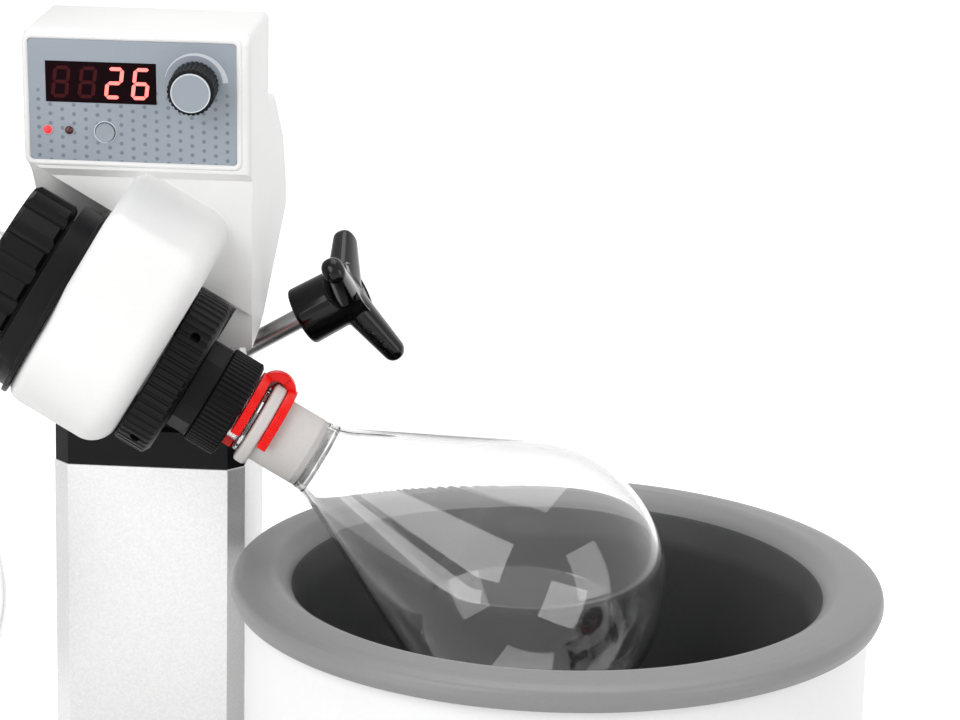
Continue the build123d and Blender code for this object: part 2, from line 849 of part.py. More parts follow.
def make_clamp_neck():
    """Threaded neck on the end of the hollow shaft, with four flats for a spanner."""
    body = along_drive([
        (shaft_end, shaft_bore), (nut_end - 1.5, shaft_bore), (nut_end - 1.5, nut_thread_radius),
        (neck_end, nut_thread_radius), (neck_end, neck_radius), (shaft_end + 0.3, neck_radius),
        (shaft_end, neck_radius - 0.3),
    ])
    flat = Box(9.0, 14, 3, align=centred)
    for angle in range(20, 380, 60):
        place = Rot(angle, 0, 0) * Pos((shaft_end + neck_end) / 2, 0, neck_radius - 1.2)
        body -= drive_plane.location * place * flat
    return body


def make_flask_nut():
    """Knurled nut that eases the flask off its cone."""
    bore = nut_thread_radius + run_gap
    start = neck_end + 0.3
    body = along_drive([
        (start, bore), (nut_end, bore), (nut_end, nut_radius - 1.6), (nut_end - 1.2, nut_radius),
        (start + 0.8, nut_radius), (start, nut_radius - 0.8),
    ])
    groove = Cylinder(0.75, nut_end - start + 2, align=centred)
    return body - round_drive(groove, start - 1, nut_radius + 0.15, 60)


# ---- rotating glass --------------------------------------------------------------------
def make_vapour_duct():
    """Glass tube through the drive, with the ground cone that carries the flask."""
    flange = bead_radius - 4
    return along_drive([
        (spigot_start + 3, duct_bore), (cone_length + 0.5, duct_bore),
        (cone_length + 0.5, cone_narrow), (-bead_half - 0.3, cone_wide), (-bead_half - 0.3, flange),
        (-bead_half - 2.6, flange), (-bead_half - 2.6, duct_radius),
        (spigot_start + 3, duct_radius),
    ])


def flask_outline(inset):
    """Half outline of the pear-shaped flask beyond its neck, as joined edges."""
    neck = flask_neck - inset
    ball = flask_radius - inset
    angle = radians(flask_angle)
    apex = flask_centre - ball / sin(angle)
    corner = apex + neck / tan(angle)
    blend = 30.0 + inset
    run = blend * tan(angle / 2)
    start = (corner - run, neck)
    end = (corner + run * cos(angle), neck + run * sin(angle))
    middle = (corner - run + blend * sin(angle / 2), neck + blend * (1 - cos(angle / 2)))
    meet = (flask_centre - ball * sin(angle), ball * cos(angle))
    top = (flask_centre + ball * cos(pi / 3), ball * sin(pi / 3))
    tail = (flask_centre + ball, 0)
    edges = ThreePointArc(start, middle, end)
    edges += Line(end, meet)
    edges += ThreePointArc(meet, top, tail)
    return edges, start


def flask_solid(inset, neck_points):
    """Flask volume from its neck corners and the outline that follows them."""
    edges, start = flask_outline(inset)
    outline = edges
    outline += Polyline(*neck_points, start)
    first = neck_points[0]
    outline += Line((flask_centre + flask_radius - inset, 0), (first[0], 0))
    if first[1] > 0:
        outline += Line((first[0], 0), first)
    return drive_plane.location * revolve(make_face(outline), Axis.X)


def make_evaporating_flask():
    """One litre pear-shaped flask with a 29/32 ground socket."""
    outer = flask_solid(0, [
        (-bead_half, bead_radius - 1.2), (-bead_half + 1.2, bead_radius),
        (bead_half - 1.2, bead_radius), (bead_half, bead_radius - 1.2), (bead_half, flask_neck),
    ])
    inner = flask_solid(flask_wall, [
        (-bead_half, cone_wide + run_gap), (cone_length, cone_narrow + run_gap),
    ])
    return outer - inner


def make_joint_clip():
    """Red plastic clip that holds flask and duct together over their collars."""
    inner = bead_radius + 0.2
    outer = inner + 5.5
    back = -bead_half - 2.8
    front = bead_half + 0.2
    bridge = drive_tube(outer, inner, back - clip_back, front + clip_front)
    duct_arm = drive_tube(outer, duct_radius + 0.3, back - clip_back, back)
    neck_arm = drive_tube(outer, flask_neck + 0.2, front, front + clip_front)
    clip = bridge + duct_arm + neck_arm
    keep = drive_block(Pos(0, 26) * Rectangle(24, 40), -20, 20)
    keep += drive_block(Pos(0, 6) * Rectangle(80, 28), -20, back)
    keep += drive_block(Pos(0, 6) * Rectangle(80, 28), front, 20)
    slot = Box(front - back + 1, 10, 10)
    hole = drive_plane.location * Pos((front + back) / 2, 0, outer) * slot
    return (clip & keep) - hole


# ---- condenser ------------------------------------------------------------------------
def condenser_profile(inset):
    """Half outline of the condenser envelope in (radius, z)."""
    wide = condenser_radius - inset
    stem = 10.0 - inset
    return [
        (stem, ball_z), (stem, 338), (wide - 12, 362), (wide, 384), (wide, condenser_top - 22),
        (wide - 8, condenser_top - 8), (18 - inset, condenser_top), (18 - inset, condenser_top + 16),
        (0, condenser_top + 16), (0, ball_z),
    ]


def smooth_upright(profile, radius):
    """Solid turned about Z with rounded inner corners of its outline."""
    face = make_face(Polyline(*profile, close=True))
    corners = [v for v in face.vertices() if v.X > 0.1 and ball_z + 1 < v.Y < condenser_top + 15]
    face = fillet(corners, radius)
    return revolve(Plane.XZ * face, Axis.Z)


def make_condenser_jacket():
    """Vertical glass envelope with its side arm, drip tube and ball joint."""
    outer = Pos(condenser_x, 0, 0) * smooth_upright(condenser_profile(0), 6)
    inner = Pos(condenser_x, 0, 0) * smooth_upright(condenser_profile(glass_wall), 5)
    arm_end = union_start + 4.3
    arm = drive_tube(arm_radius, 0, arm_start, arm_end + 4.7)
    arm += drive_tube(26, 0, arm_end, arm_end + 4.7)
    arm_hole = drive_tube(arm_radius - glass_wall, 0, arm_start, arm_end + 4.7)
    ball = Pos(condenser_x, 0, ball_z) * Sphere(ball_radius)
    tip = Pos(condenser_x, 0, 0) * rod_between(7.0, ball_z - ball_radius - 1, ball_z + 20)
    ball &= block((-200, 0), (-40, 40), (ball_z - 13, ball_z + 20))
    return outer + arm + ball - inner - arm_hole - tip


def coil_turn(z):
    """One level turn of the cooling coil."""
    section = Plane(origin=(coil_radius, 0, z), x_dir=(1, 0, 0), z_dir=(0, -1, 0)) * Circle(coil_tube)
    return revolve(section, Axis.Z)


def make_condenser_coil():
    """Cooling coil: level turns joined by a riser, with both ends led out to the stubs."""
    top = coil_bottom + coil_pitch * (coil_turns - 1)
    reach = condenser_radius - glass_wall
    coil = Pos(coil_radius, 0, 0) * rod_between(coil_lead, coil_bottom, stub_z)
    coil += [coil_turn(coil_bottom + coil_pitch * step) for step in range(coil_turns)]
    coil += Pos(-coil_radius, 0, 0) * rod_between(coil_lead, top, stub_z - stub_gap)
    for z, start in ((stub_z, coil_radius), (stub_z - stub_gap, -coil_radius)):
        length = reach + start
        coil += Pos(-reach, 0, z) * Rot(0, 90, 0) * Cylinder(coil_lead, length, align=centred)
        coil += Pos(start, 0, z) * Sphere(coil_lead)
    return Pos(condenser_x, 0, 0) * coil


def make_condenser_stubs():
    """Hose stubs: coolant in, coolant out and vacuum, with their screw collars."""
    length = stub_collar + stub_length
    stub = rod_between(stub_radius, 0, length) + rod_between(stub_collar_radius, 0, stub_collar)
    stub -= rod_between(stub_radius - stub_wall, 0, length)
    places = [
        Location((condenser_x - condenser_radius, 0, stub_z), (0, -90, 0)),
        Location((condenser_x - condenser_radius, 0, stub_z - stub_gap), (0, -90, 0)),
        Location((condenser_x, condenser_radius, stub_z), (-90, 0, 0)),
    ]
    return Compound(children=[place * stub for place in places])


def make_condenser_cap():
    """Screw cap on top of the condenser with the body of the feed stopcock."""
    z = condenser_top
    cap = upright([
        (0, z + 16), (18, z + 16), (18, z + 4), (23, z + 4), (23, z + 20), (20, z + 23),
        (9, z + 23), (9, z + 50), (4, z + 54), (0, z + 54),
    ])
    key_way = Rot(90, 0, 0) * Cylinder(key_radius + key_gap, 40)
    cap -= Pos(0, 0, z + 36) * key_way
    return Pos(condenser_x, 0, 0) * cap


def make_feed_key():
    """Key of the feed stopcock with its handle."""
    key = Cylinder(key_radius, 24, align=(Align.CENTER, Align.CENTER, Align.CENTER))
    handle = Pos(0, 0, 14.5) * Box(26, 9, 5)
    handle = fillet(handle.edges().filter_by(Axis.Z), 4)
    stop = Pos(0, 0, -13.2) * Cylinder(6.5, 2.4)
    return Pos(condenser_x, 0, condenser_top + 36) * Rot(90, 0, 0) * (key + handle + stop)


def make_receiving_flask():
    """One litre round receiving flask with the cup of the ball joint."""
    ball = receiver_radius
    neck = 14.0

    def body(inset):
        radius = ball - inset
        throat = neck - inset
        reach = (radius ** 2 - throat ** 2) ** 0.5
        throat_low = (throat, receiver_z + reach)
        edges = ThreePointArc((0, receiver_z - radius), (radius, receiver_z), throat_low)
        edges += Line(throat_low, (throat, ball_z - 8))
        edges += Line((throat, ball_z - 8), (0, ball_z - 8))
        edges += Line((0, ball_z - 8), (0, receiver_z - radius))
        return revolve(Plane.XZ * make_face(edges), Axis.Z)

    cup = upright([
        (0, ball_z - 16), (14, ball_z - 16), (22, ball_z - 4), (22, ball_z + 1), (0, ball_z + 1),
    ])
    flask = body(0) + cup - body(glass_wall)
    flask -= Pos(0, 0, ball_z) * Sphere(ball_radius + 0.15)
    return Pos(condenser_x, 0, 0) * flask


def make_ball_clamp():
    """Metal fork clamp that holds the ball joint together."""
    low = upright([(14.6, ball_z - 21), (27, ball_z - 21), (27, ball_z - 18), (14.6, ball_z - 18)])
    high = upright([(12, ball_z + 14.6), (27, ball_z + 14.6), (27, ball_z + 17.6), (12, ball_z + 17.6)])
    strap = Pos(-26, 0, 0) * rod_between(2.5, ball_z - 21, ball_z + 17.6)
    strap_b = Pos(26, 0, 0) * rod_between(2.5, ball_z - 21, ball_z + 17.6)
    return Pos(condenser_x, 0, 0) * (low + high + strap + strap_b)


# ---- locking handle -------------------------------------------------------------------
def make_lock_rod():
    """Steel clamp screw that runs up to the three-arm knob."""
    return rod_plane.location * rod_between(rod_radius, rod_tip, hub_start + 12)


def make_lock_knob():
    """Black three-arm knob with a recess for its cap."""
    hub = Pos(0, 0, hub_start) * Cone(hub_radius - 1.5, hub_radius + 1.5, hub_length, align=centred)
    knob = hub
    for number in range(3):
        angle = 30 + 120 * number
        outline = SlotOverall(2 * arm_reach, arm_width)
        arm = Pos(0, 0, hub_start + arm_low) * extrude(outline, arm_thickness)
        half = block((0, 60), (-20, 20), (0, 90))
        knob += Rot(0, 0, angle) * (arm & half)
    knob = knob - Pos(0, 0, hub_start + hub_length - 1.5) * Cylinder(cap_radius, 4, align=centred)
    knob -= rod_between(rod_radius, hub_start - 1, hub_start + 12)
    return rod_plane.location * knob


def make_lock_knob_cap():
    """Pale disc set in the end of the three-arm knob."""
    disc = Pos(0, 0, hub_start + hub_length - 1.5) * Cylinder(cap_radius, 1.5, align=centred)
    return rod_plane.location * disc


# ---- bath ---------------------------------------------------------------------------
def make_bath_bowl():
    """Coated bowl with its broad rolled rim."""
    roll = rim_roll
    wall = bowl_wall
    inner = [
        (mouth_radius + 8, rim_z), (mouth_radius + 1, rim_z - 6), (mouth_radius - 3, rim_z - 20),
        (mouth_radius - 8, bowl_floor + 22), (mouth_radius - 26, bowl_floor), (0, bowl_floor),
    ]
    outer_low = [
        (0, bowl_floor - wall), (mouth_radius - 25, bowl_floor - wall),
        (mouth_radius - 6, bowl_floor + 21), (mouth_radius - 1, rim_z - 20),
        (mouth_radius + 3, rim_z - 8), (mouth_radius + 9, rim_z - rim_sheet + 0.2),
    ]
    rim = [
        (rim_radius - roll, rim_z - rim_sheet), (rim_radius - 3.5, rim_z - roll + 1.5),
        (rim_radius - 3.5, rim_z - 2 * roll + 2), (rim_radius - 1.5, rim_z - 2 * roll + 1),
        (rim_radius, rim_z - roll - 1), (rim_radius - 0.8, rim_z - roll + 3.5),
        (rim_radius - 3.6, rim_z - 1.6), (rim_radius - roll - 0.5, rim_z - 1.0),
    ]
    return Pos(bath_x, 0, 0) * upright(inner + outer_low + rim)


def make_bath_shell():
    """White outer wall of the bath."""
    top = rim_z - rim_sheet
    outer = Pos(bath_x, 0, 0) * rod_between(bath_radius, deck_z, top)
    outer += block(
        (bath_x - fascia_half, bath_x + fascia_half), (-fascia_out, 0), (fascia_low, fascia_high)
    )
    inner = Pos(bath_x, 0, 0) * rod_between(bath_radius - bath_wall, deck_z + 3, top)
    inner += block(
        (bath_x - fascia_half + 3, bath_x + fascia_half - 3), (-fascia_out, 0),
        (fascia_low + 3, fascia_high - 3),
    )
    shell = outer - inner
    shell -= block(*inlet_opening(bath_x))
    return shell


def make_bath_fascia():
    """Control plate on the front of the bath."""
    half = fascia_half - 3
    plate = block(
        (bath_x - half, bath_x + half), (-fascia_out, -fascia_out + 3),
        (fascia_low + 3, fascia_high - 3),
    )
    plate -= block(*bath_display_box)
    plate -= Location(bath_knob_at, (90, 0, 0)) * Cylinder(3.3, 20)
    plate -= block(*bath_switch_box)
    return plate


def make_bath_knob():
    """Ribbed temperature knob of the bath."""
    grip = Pos(0, 0, 0.4) * fluted(13, 15, 24, 0.9)
    stem = Pos(0, 0, -14) * Cylinder(3, 15, align=centred)
    return Location(bath_knob_at, (90, 0, 0)) * (grip + stem)


def place_rocker(opening, front):
    """Rocker set in a front wall, tipped to its off position about a pivot along X."""
    x_span, _, z_span = opening
    half = (z_span[1] - z_span[0]) / 2 - rocker_gap
    outline = make_face(Polyline(
        (0, -3.0), (half - 0.2, -1.2), (half - 0.2, half), (-half + 0.2, half), (-half + 0.2, -1.2),
        close=True,
    ))
    outline = outline & Circle(half)
    side = Plane(origin=(0, 0, 0), x_dir=(0, 0, 1), z_dir=(-1, 0, 0))
    body = extrude(side * outline, (x_span[1] - x_span[0]) / 2 - rocker_gap, both=True)
    return Pos(sum(x_span) / 2, -front, sum(z_span) / 2) * Rot(rocker_tip, 0, 0) * body


def make_bath_board():
    """Controller board of the bath with display, knob bearing and switch body."""
    board = block((bath_x - 52, bath_x + 52), (-fascia_out + 16, -fascia_out + 18), (82, 142))
    socket = Location(bath_knob_at, (90, 0, 0)) * Pos(0, 0, -16) * Cylinder(8, 10, align=centred)
    bore = Location(bath_knob_at, (90, 0, 0)) * Pos(0, 0, -15) * Cylinder(3 + run_gap, 16, align=centred)
    x_span, _, z_span = bath_display_box
    display = block(x_span, (-fascia_out + 0.6, -fascia_out + 16), z_span)
    x_span, _, z_span = bath_switch_box
    switch = block(x_span, (-fascia_out + 13, -fascia_out + 16), z_span)
    return board + socket - bore + display + switch


def make_bath_rocker():
    """Heating switch of the bath."""
    return place_rocker(bath_switch_box, fascia_out)


def make_bath_heater():
    """Ring heater clamped under the bowl."""
    ring = Pos(bath_x, 0, bowl_floor - bowl_wall - 4) * Torus(70, 4)
    inner = Pos(bath_x, 0, bowl_floor - bowl_wall - 4) * Torus(40, 4)
    bar_top_z = bowl_floor - bowl_wall - 3
    bars = block((bath_x - 70, bath_x + 70), (-5, 5), (bar_top_z - 2, bar_top_z))
    return ring + inner + bars


# ---- power parts ----------------------------------------------------------------------
def inlet_opening(x):
    """Hole in a back wall for a mains inlet."""
    if x == bath_x:
        return ((x - inlet_half, x + inlet_half), (bath_radius - 12, bath_radius + 2), (80, 100))
    return ((x - inlet_half, x + inlet_half), (base_back - 4, base_back + 1), (26, 46))


def mains_inlet(x, wall_y, low, high):
    """Appliance inlet with three pins in a recess, facing +Y."""
    body = block((x - inlet_half, x + inlet_half), (wall_y - 18, wall_y), (low, high))
    body += block((x - inlet_half - 3, x + inlet_half + 3), (wall_y, wall_y + 2), (low - 2, high + 2))
    hollow = inlet_half - 2
    body -= block((x - hollow, x + hollow), (wall_y - 14, wall_y + 2), (low + 2, high - 2))
    for pin_x, pin_z in ((-7, 2), (0, -2), (7, 2)):
        middle = (low + high) / 2 + pin_z
        body += block((x + pin_x - 1, x + pin_x + 1), (wall_y - 14, wall_y - 4), (middle - 2, middle + 2))
    return body


def make_mains_inlets():
    """Mains inlets of the base and of the bath."""
    base_one = mains_inlet(base_inlet_x, base_back, 26, 46)
    bath_one = mains_inlet(bath_x, bath_radius, 80, 100)
    return Compound(children=[base_one, bath_one])


def make_main_rocker():
    """Main switch on the front of the base."""
    return place_rocker(switch_opening, base_front)


def make_power_supply():
    """Power supply box on the plate of the base, with the body of the main switch."""
    case = block((30, 150), (-80, 20), (cover_z, cover_z + 30))
    return fillet(case.edges().filter_by(Axis.Z), 3)


# ---- depth stop knob --------------------------------------------------------------------
def make_depth_knob():
    """Large lobed knob of the depth stop on the front of the column, with its stud."""
    grip = Cylinder(depth_knob_radius, depth_knob_length - 1, align=centred)
    grip -= PolarLocations(depth_knob_radius + 9, 9) * Cylinder(12, depth_knob_length, align=centred)
    grip = Pos(0, 0, 1) * grip
    stud = Pos(0, 0, -column_wall - 14) * Cylinder(stud_radius, column_wall + 16, align=centred)
    return Location((0, column_front, depth_knob_z), (90, 0, 0)) * (grip + stud)


head_shell = make_head()
parts = {
    "base_cover": make_base_cover(),
    "base_plate": make_base_plate(),
    "base_feet": make_base_feet(),
    "base_screws": make_base_screws(),
    "column": make_column(),
    "column_collar": make_column_collar(),
    "mast_bush": make_mast_bush(),
    "brake_bar": make_brake_bar(),
    "gas_spring_body": make_gas_spring_body(),
    "power_supply": make_power_supply(),
    "mains_inlets": make_mains_inlets(),
    "main_switch_rocker": make_main_rocker(),
    "depth_knob": make_depth_knob(),
    "bath_bowl": make_bath_bowl(),
    "bath_shell": make_bath_shell(),
    "bath_heater": make_bath_heater(),
    "bath_fascia": make_bath_fascia(),
    "bath_board": make_bath_board(),
    "bath_knob": make_bath_knob(),
    "bath_rocker": make_bath_rocker(),
    "mast": make_mast(),
    "mast_shoe": make_mast_shoe(),
    "gas_spring_rod": make_gas_spring_rod(),
    "lock_block": make_lock_block(),
    "head_chassis": make_head_chassis(),
    "head_front_shell": part_head(head_shell, True),
    "head_rear_shell": part_head(head_shell, False),
    "control_panel": make_control_panel(),
    "display_module": make_display_module(),
    "status_lamps": make_status_lamps(),
    "control_board": make_control_board(),
    "speed_knob": make_speed_knob(),
    "speed_knob_cap": make_speed_knob_cap(),
    "interval_button": make_interval_button(),
    "drive_housing": make_drive_housing(),
    "rotor_bearings": make_rotor_bearings(),
    "hollow_shaft": make_hollow_shaft(),
    "rotor_pulley": make_rotor_pulley(),
    "flat_motor": make_motor(),
    "motor_shaft": make_motor_shaft(),
    "drive_belt": make_drive_belt(),
    "drive_flange": make_drive_flange(),
    "shaft_seal": make_shaft_seal(),
    "union_nut": make_union_nut(),
    "locking_ring": make_locking_ring(),
    "clamp_neck": make_clamp_neck(),
    "flask_nut": make_flask_nut(),
    "vapour_duct": make_vapour_duct(),
    "evaporating_flask": make_evaporating_flask(),
    "joint_clip": make_joint_clip(),
    "condenser_jacket": make_condenser_jacket(),
    "condenser_coil": make_condenser_coil(),
    "condenser_stubs": make_condenser_stubs(),
    "condenser_cap": make_condenser_cap(),
    "feed_key": make_feed_key(),
    "receiving_flask": make_receiving_flask(),
    "ball_clamp": make_ball_clamp(),
    "lock_rod": make_lock_rod(),
    "lock_knob": make_lock_knob(),
    "lock_knob_cap": make_lock_knob_cap(),
}
left_end = condenser_x - condenser_radius - stub_collar - stub_length
to_middle = Pos(-(base_right + left_end) / 2, 0, 0)
for part_name, part_shape in parts.items():
    save(part_name, to_middle * part_shape)
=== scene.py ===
"""Looks of a benchtop rotary evaporator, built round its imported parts.

Sizes are millimetres and become metres when a mesh is made. +Z is up, +X points to the
heating bath and +Y to the back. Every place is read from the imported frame.
"""
import json
import logging
from dataclasses import dataclass, field
from enum import Enum
from functools import lru_cache
from math import cos, pi, radians, sin, tan
from typing import Any, ClassVar, Sequence

import bmesh
import bpy
import numpy as np
from mathutils import Matrix, Vector

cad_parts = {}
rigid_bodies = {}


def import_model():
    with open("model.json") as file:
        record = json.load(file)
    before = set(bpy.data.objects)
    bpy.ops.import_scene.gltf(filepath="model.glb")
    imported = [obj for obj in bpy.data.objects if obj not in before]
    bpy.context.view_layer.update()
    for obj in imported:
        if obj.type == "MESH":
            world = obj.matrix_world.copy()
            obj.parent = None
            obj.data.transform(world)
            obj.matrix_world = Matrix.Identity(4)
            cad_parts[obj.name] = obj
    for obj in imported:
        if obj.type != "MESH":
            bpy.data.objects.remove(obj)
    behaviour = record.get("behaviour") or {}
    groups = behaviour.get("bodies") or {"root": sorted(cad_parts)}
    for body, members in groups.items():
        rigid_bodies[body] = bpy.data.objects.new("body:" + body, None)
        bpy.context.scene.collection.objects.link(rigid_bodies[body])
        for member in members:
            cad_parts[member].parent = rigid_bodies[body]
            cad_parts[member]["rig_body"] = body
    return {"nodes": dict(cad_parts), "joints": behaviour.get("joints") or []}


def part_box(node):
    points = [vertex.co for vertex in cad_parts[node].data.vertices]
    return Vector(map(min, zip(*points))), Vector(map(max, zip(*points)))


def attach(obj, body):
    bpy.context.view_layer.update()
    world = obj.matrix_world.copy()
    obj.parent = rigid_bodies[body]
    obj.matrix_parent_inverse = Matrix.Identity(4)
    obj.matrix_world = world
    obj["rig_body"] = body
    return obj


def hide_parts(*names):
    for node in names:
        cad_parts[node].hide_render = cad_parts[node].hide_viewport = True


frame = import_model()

Array = np.ndarray
MM = 0.001
MERGE_MM = 0.002
AROUND = 128
log = logging.getLogger("rotary_evaporator")


# ---- colour and nodes -------------------------------------------------------------------
def linear(colour: str, scale: float = 1.0) -> tuple[float, float, float, float]:
    """Turns an sRGB hex colour to linear light: a straight toe, then a power of 2.4.

    Args:
        colour: six hex digits after a #.
        scale: what the linear values are multiplied by.

    Returns:
        Red, green, blue and an alpha of 1.
    """
    srgb = np.array([int(colour[start:start + 2], 16) for start in (1, 3, 5)]) / 255
    light = np.where(srgb <= 0.04045, srgb / 12.92, ((srgb + 0.055) / 1.055) ** 2.4)
    return (*np.clip(light * scale, 0, 1).tolist(), 1.0)


def add(tree: bpy.types.NodeTree, kind: str, settings: dict[str, Any] | None = None,
        inputs: dict[Any, Any] | None = None) -> bpy.types.Node:
    """Adds one node, sets it up and links it.

    Args:
        tree: the node tree that the node goes into.
        kind: Blender's name of the node type.
        settings: the node's own options.
        inputs: for each input, by name or number, a value or the socket that feeds it.

    Returns:
        The new node.
    """
    made = tree.nodes.new(kind)
    for name, value in (settings or {}).items():
        setattr(made, name, value)
    for name, value in (inputs or {}).items():
        if isinstance(value, bpy.types.NodeSocket):
            tree.links.new(value, made.inputs[name])
        else:
            made.inputs[name].default_value = value
    return made


@dataclass(frozen=True)
class Finish:
    """One surface: its colour and gloss, and the fine marks that its making leaves.

    The grain is a small bump with a real spacing. Patches change lightness and gloss slowly
    over the surface, as handling and uneven moulding do.
    """

    name: str
    colour: str
    roughness: float
    metallic: float = 0.0
    ior: float = 1.5
    grain_mm: float = 1.2
    grain_height_mm: float = 0.012
    stretch: tuple[float, float, float] = (1.0, 1.0, 1.0)
    speckle: float = 0.02
    patch_mm: float = 45.0
    patch_depth: float = 0.025
    gloss_change: float = 0.05
    shader: tuple[tuple[str, float], ...] = ()
    glow: str = ""

    def paint(self, tree: bpy.types.NodeTree, tone: bpy.types.NodeSocket) -> bpy.types.NodeSocket:
        """Gives the colour socket: the plain colour times the tone."""
        return add(tree, "ShaderNodeVectorMath", {"operation": "SCALE"},
                   {0: linear(self.colour)[:3], "Scale": tone}).outputs[0]

    def build(self) -> bpy.types.Material:
        """Builds the material.

        Returns:
            A node material that reads Object coordinates.
        """
        made = bpy.data.materials.new(self.name)
        made.use_nodes = True
        tree = made.node_tree
        tree.nodes.clear()
        place = add(tree, "ShaderNodeTexCoord").outputs["Object"]
        along = add(tree, "ShaderNodeMapping", inputs={"Vector": place, "Scale": self.stretch})
        grain = add(tree, "ShaderNodeTexNoise", inputs={
            "Vector": along.outputs[0], "Scale": 1 / (self.grain_mm * MM), "Detail": 3.0})
        patch = add(tree, "ShaderNodeTexNoise", inputs={
            "Vector": place, "Scale": 1 / (self.patch_mm * MM), "Detail": 4.0})

        def spread(source: bpy.types.Node, low: float, high: float) -> bpy.types.NodeSocket:
            """Maps the middle of a noise to the span from low to high."""
            return add(tree, "ShaderNodeMapRange", inputs={
                "Value": source.outputs[0], "From Min": 0.3, "From Max": 0.7,
                "To Min": low, "To Max": high}).outputs[0]

        tone = add(tree, "ShaderNodeMath", {"operation": "MULTIPLY"}, {
            0: spread(grain, 1 - self.speckle, 1 + self.speckle),
            1: spread(patch, 1 - self.patch_depth, 1 + self.patch_depth)}).outputs[0]
        gloss = spread(patch, max(self.roughness - self.gloss_change, 0.0),
                       min(self.roughness + self.gloss_change, 1.0))
        bump = add(tree, "ShaderNodeBump", inputs={
            "Distance": self.grain_height_mm * MM, "Height": grain.outputs[0]})
        inputs: dict[str, Any] = {
            "Base Color": self.paint(tree, tone), "Roughness": gloss, "Metallic": self.metallic,
            "Normal": bump.outputs[0], **dict(self.shader)}
        if not self.metallic:
            inputs["IOR"] = self.ior
        if self.glow:
            inputs["Emission Color"] = linear(self.glow)
        shader = add(tree, "ShaderNodeBsdfPrincipled", inputs=inputs)
        add(tree, "ShaderNodeOutputMaterial", inputs={"Surface": shader.outputs[0]})
        return made


@dataclass(frozen=True)
class DottedOverlay(Finish):
    """Printed film of the control panel: two offset lattices of small darker dots.

    The film's own map is in millimetres from the middle of the panel. A dot is where the
    distance to the nearest lattice point is under the dot's radius, below the dots' upper edge.
    """

    dot_colour: str = "#727C88"
    dot_radius: float = 0.92
    pitch: tuple[float, float] = (10.8, 4.4)
    dots_below: float = 8.5

    def paint(self, tree: bpy.types.NodeTree, tone: bpy.types.NodeSocket) -> bpy.types.NodeSocket:
        """Gives the colour socket: the film's colour with the dots mixed in."""
        film = add(tree, "ShaderNodeUVMap", {"uv_map": "film"}).outputs[0]
        pitch = (*self.pitch, 1.0)
        nearest = None
        for shift in (0.0, 0.5):
            cells = add(tree, "ShaderNodeVectorMath", {"operation": "DIVIDE"}, {0: film, 1: pitch})
            moved = add(tree, "ShaderNodeVectorMath", {"operation": "ADD"},
                        {0: cells.outputs[0], 1: (shift, shift, 0.0)})
            part = add(tree, "ShaderNodeVectorMath", {"operation": "FRACTION"},
                       {0: moved.outputs[0]})
            centred = add(tree, "ShaderNodeVectorMath", {"operation": "SUBTRACT"},
                          {0: part.outputs[0], 1: (0.5, 0.5, 0.0)})
            sized = add(tree, "ShaderNodeVectorMath", {"operation": "MULTIPLY"},
                        {0: centred.outputs[0], 1: pitch})
            away = add(tree, "ShaderNodeVectorMath", {"operation": "LENGTH"},
                       {0: sized.outputs[0]}).outputs["Value"]
            nearest = away if nearest is None else add(
                tree, "ShaderNodeMath", {"operation": "MINIMUM"}, {0: nearest, 1: away}).outputs[0]
        inside = add(tree, "ShaderNodeMapRange", inputs={
            "Value": nearest, "From Min": self.dot_radius - 0.15, "From Max": self.dot_radius + 0.15,
            "To Min": 1.0, "To Max": 0.0}).outputs[0]
        up = add(tree, "ShaderNodeSeparateXYZ", inputs={0: film}).outputs["Y"]
        low = add(tree, "ShaderNodeMapRange", inputs={
            "Value": up, "From Min": self.dots_below - 5, "From Max": self.dots_below,
            "To Min": 1.0, "To Max": 0.0}).outputs[0]
        share = add(tree, "ShaderNodeMath", {"operation": "MULTIPLY"}, {0: inside, 1: low})
        plain = super().paint(tree, tone)
        dot = add(tree, "ShaderNodeVectorMath", {"operation": "SCALE"},
                  {0: linear(self.dot_colour)[:3], "Scale": tone}).outputs[0]
        return add(tree, "ShaderNodeMix", {"data_type": "VECTOR"}, {
            "Factor": share.outputs[0], 4: plain, 5: dot}).outputs[1]


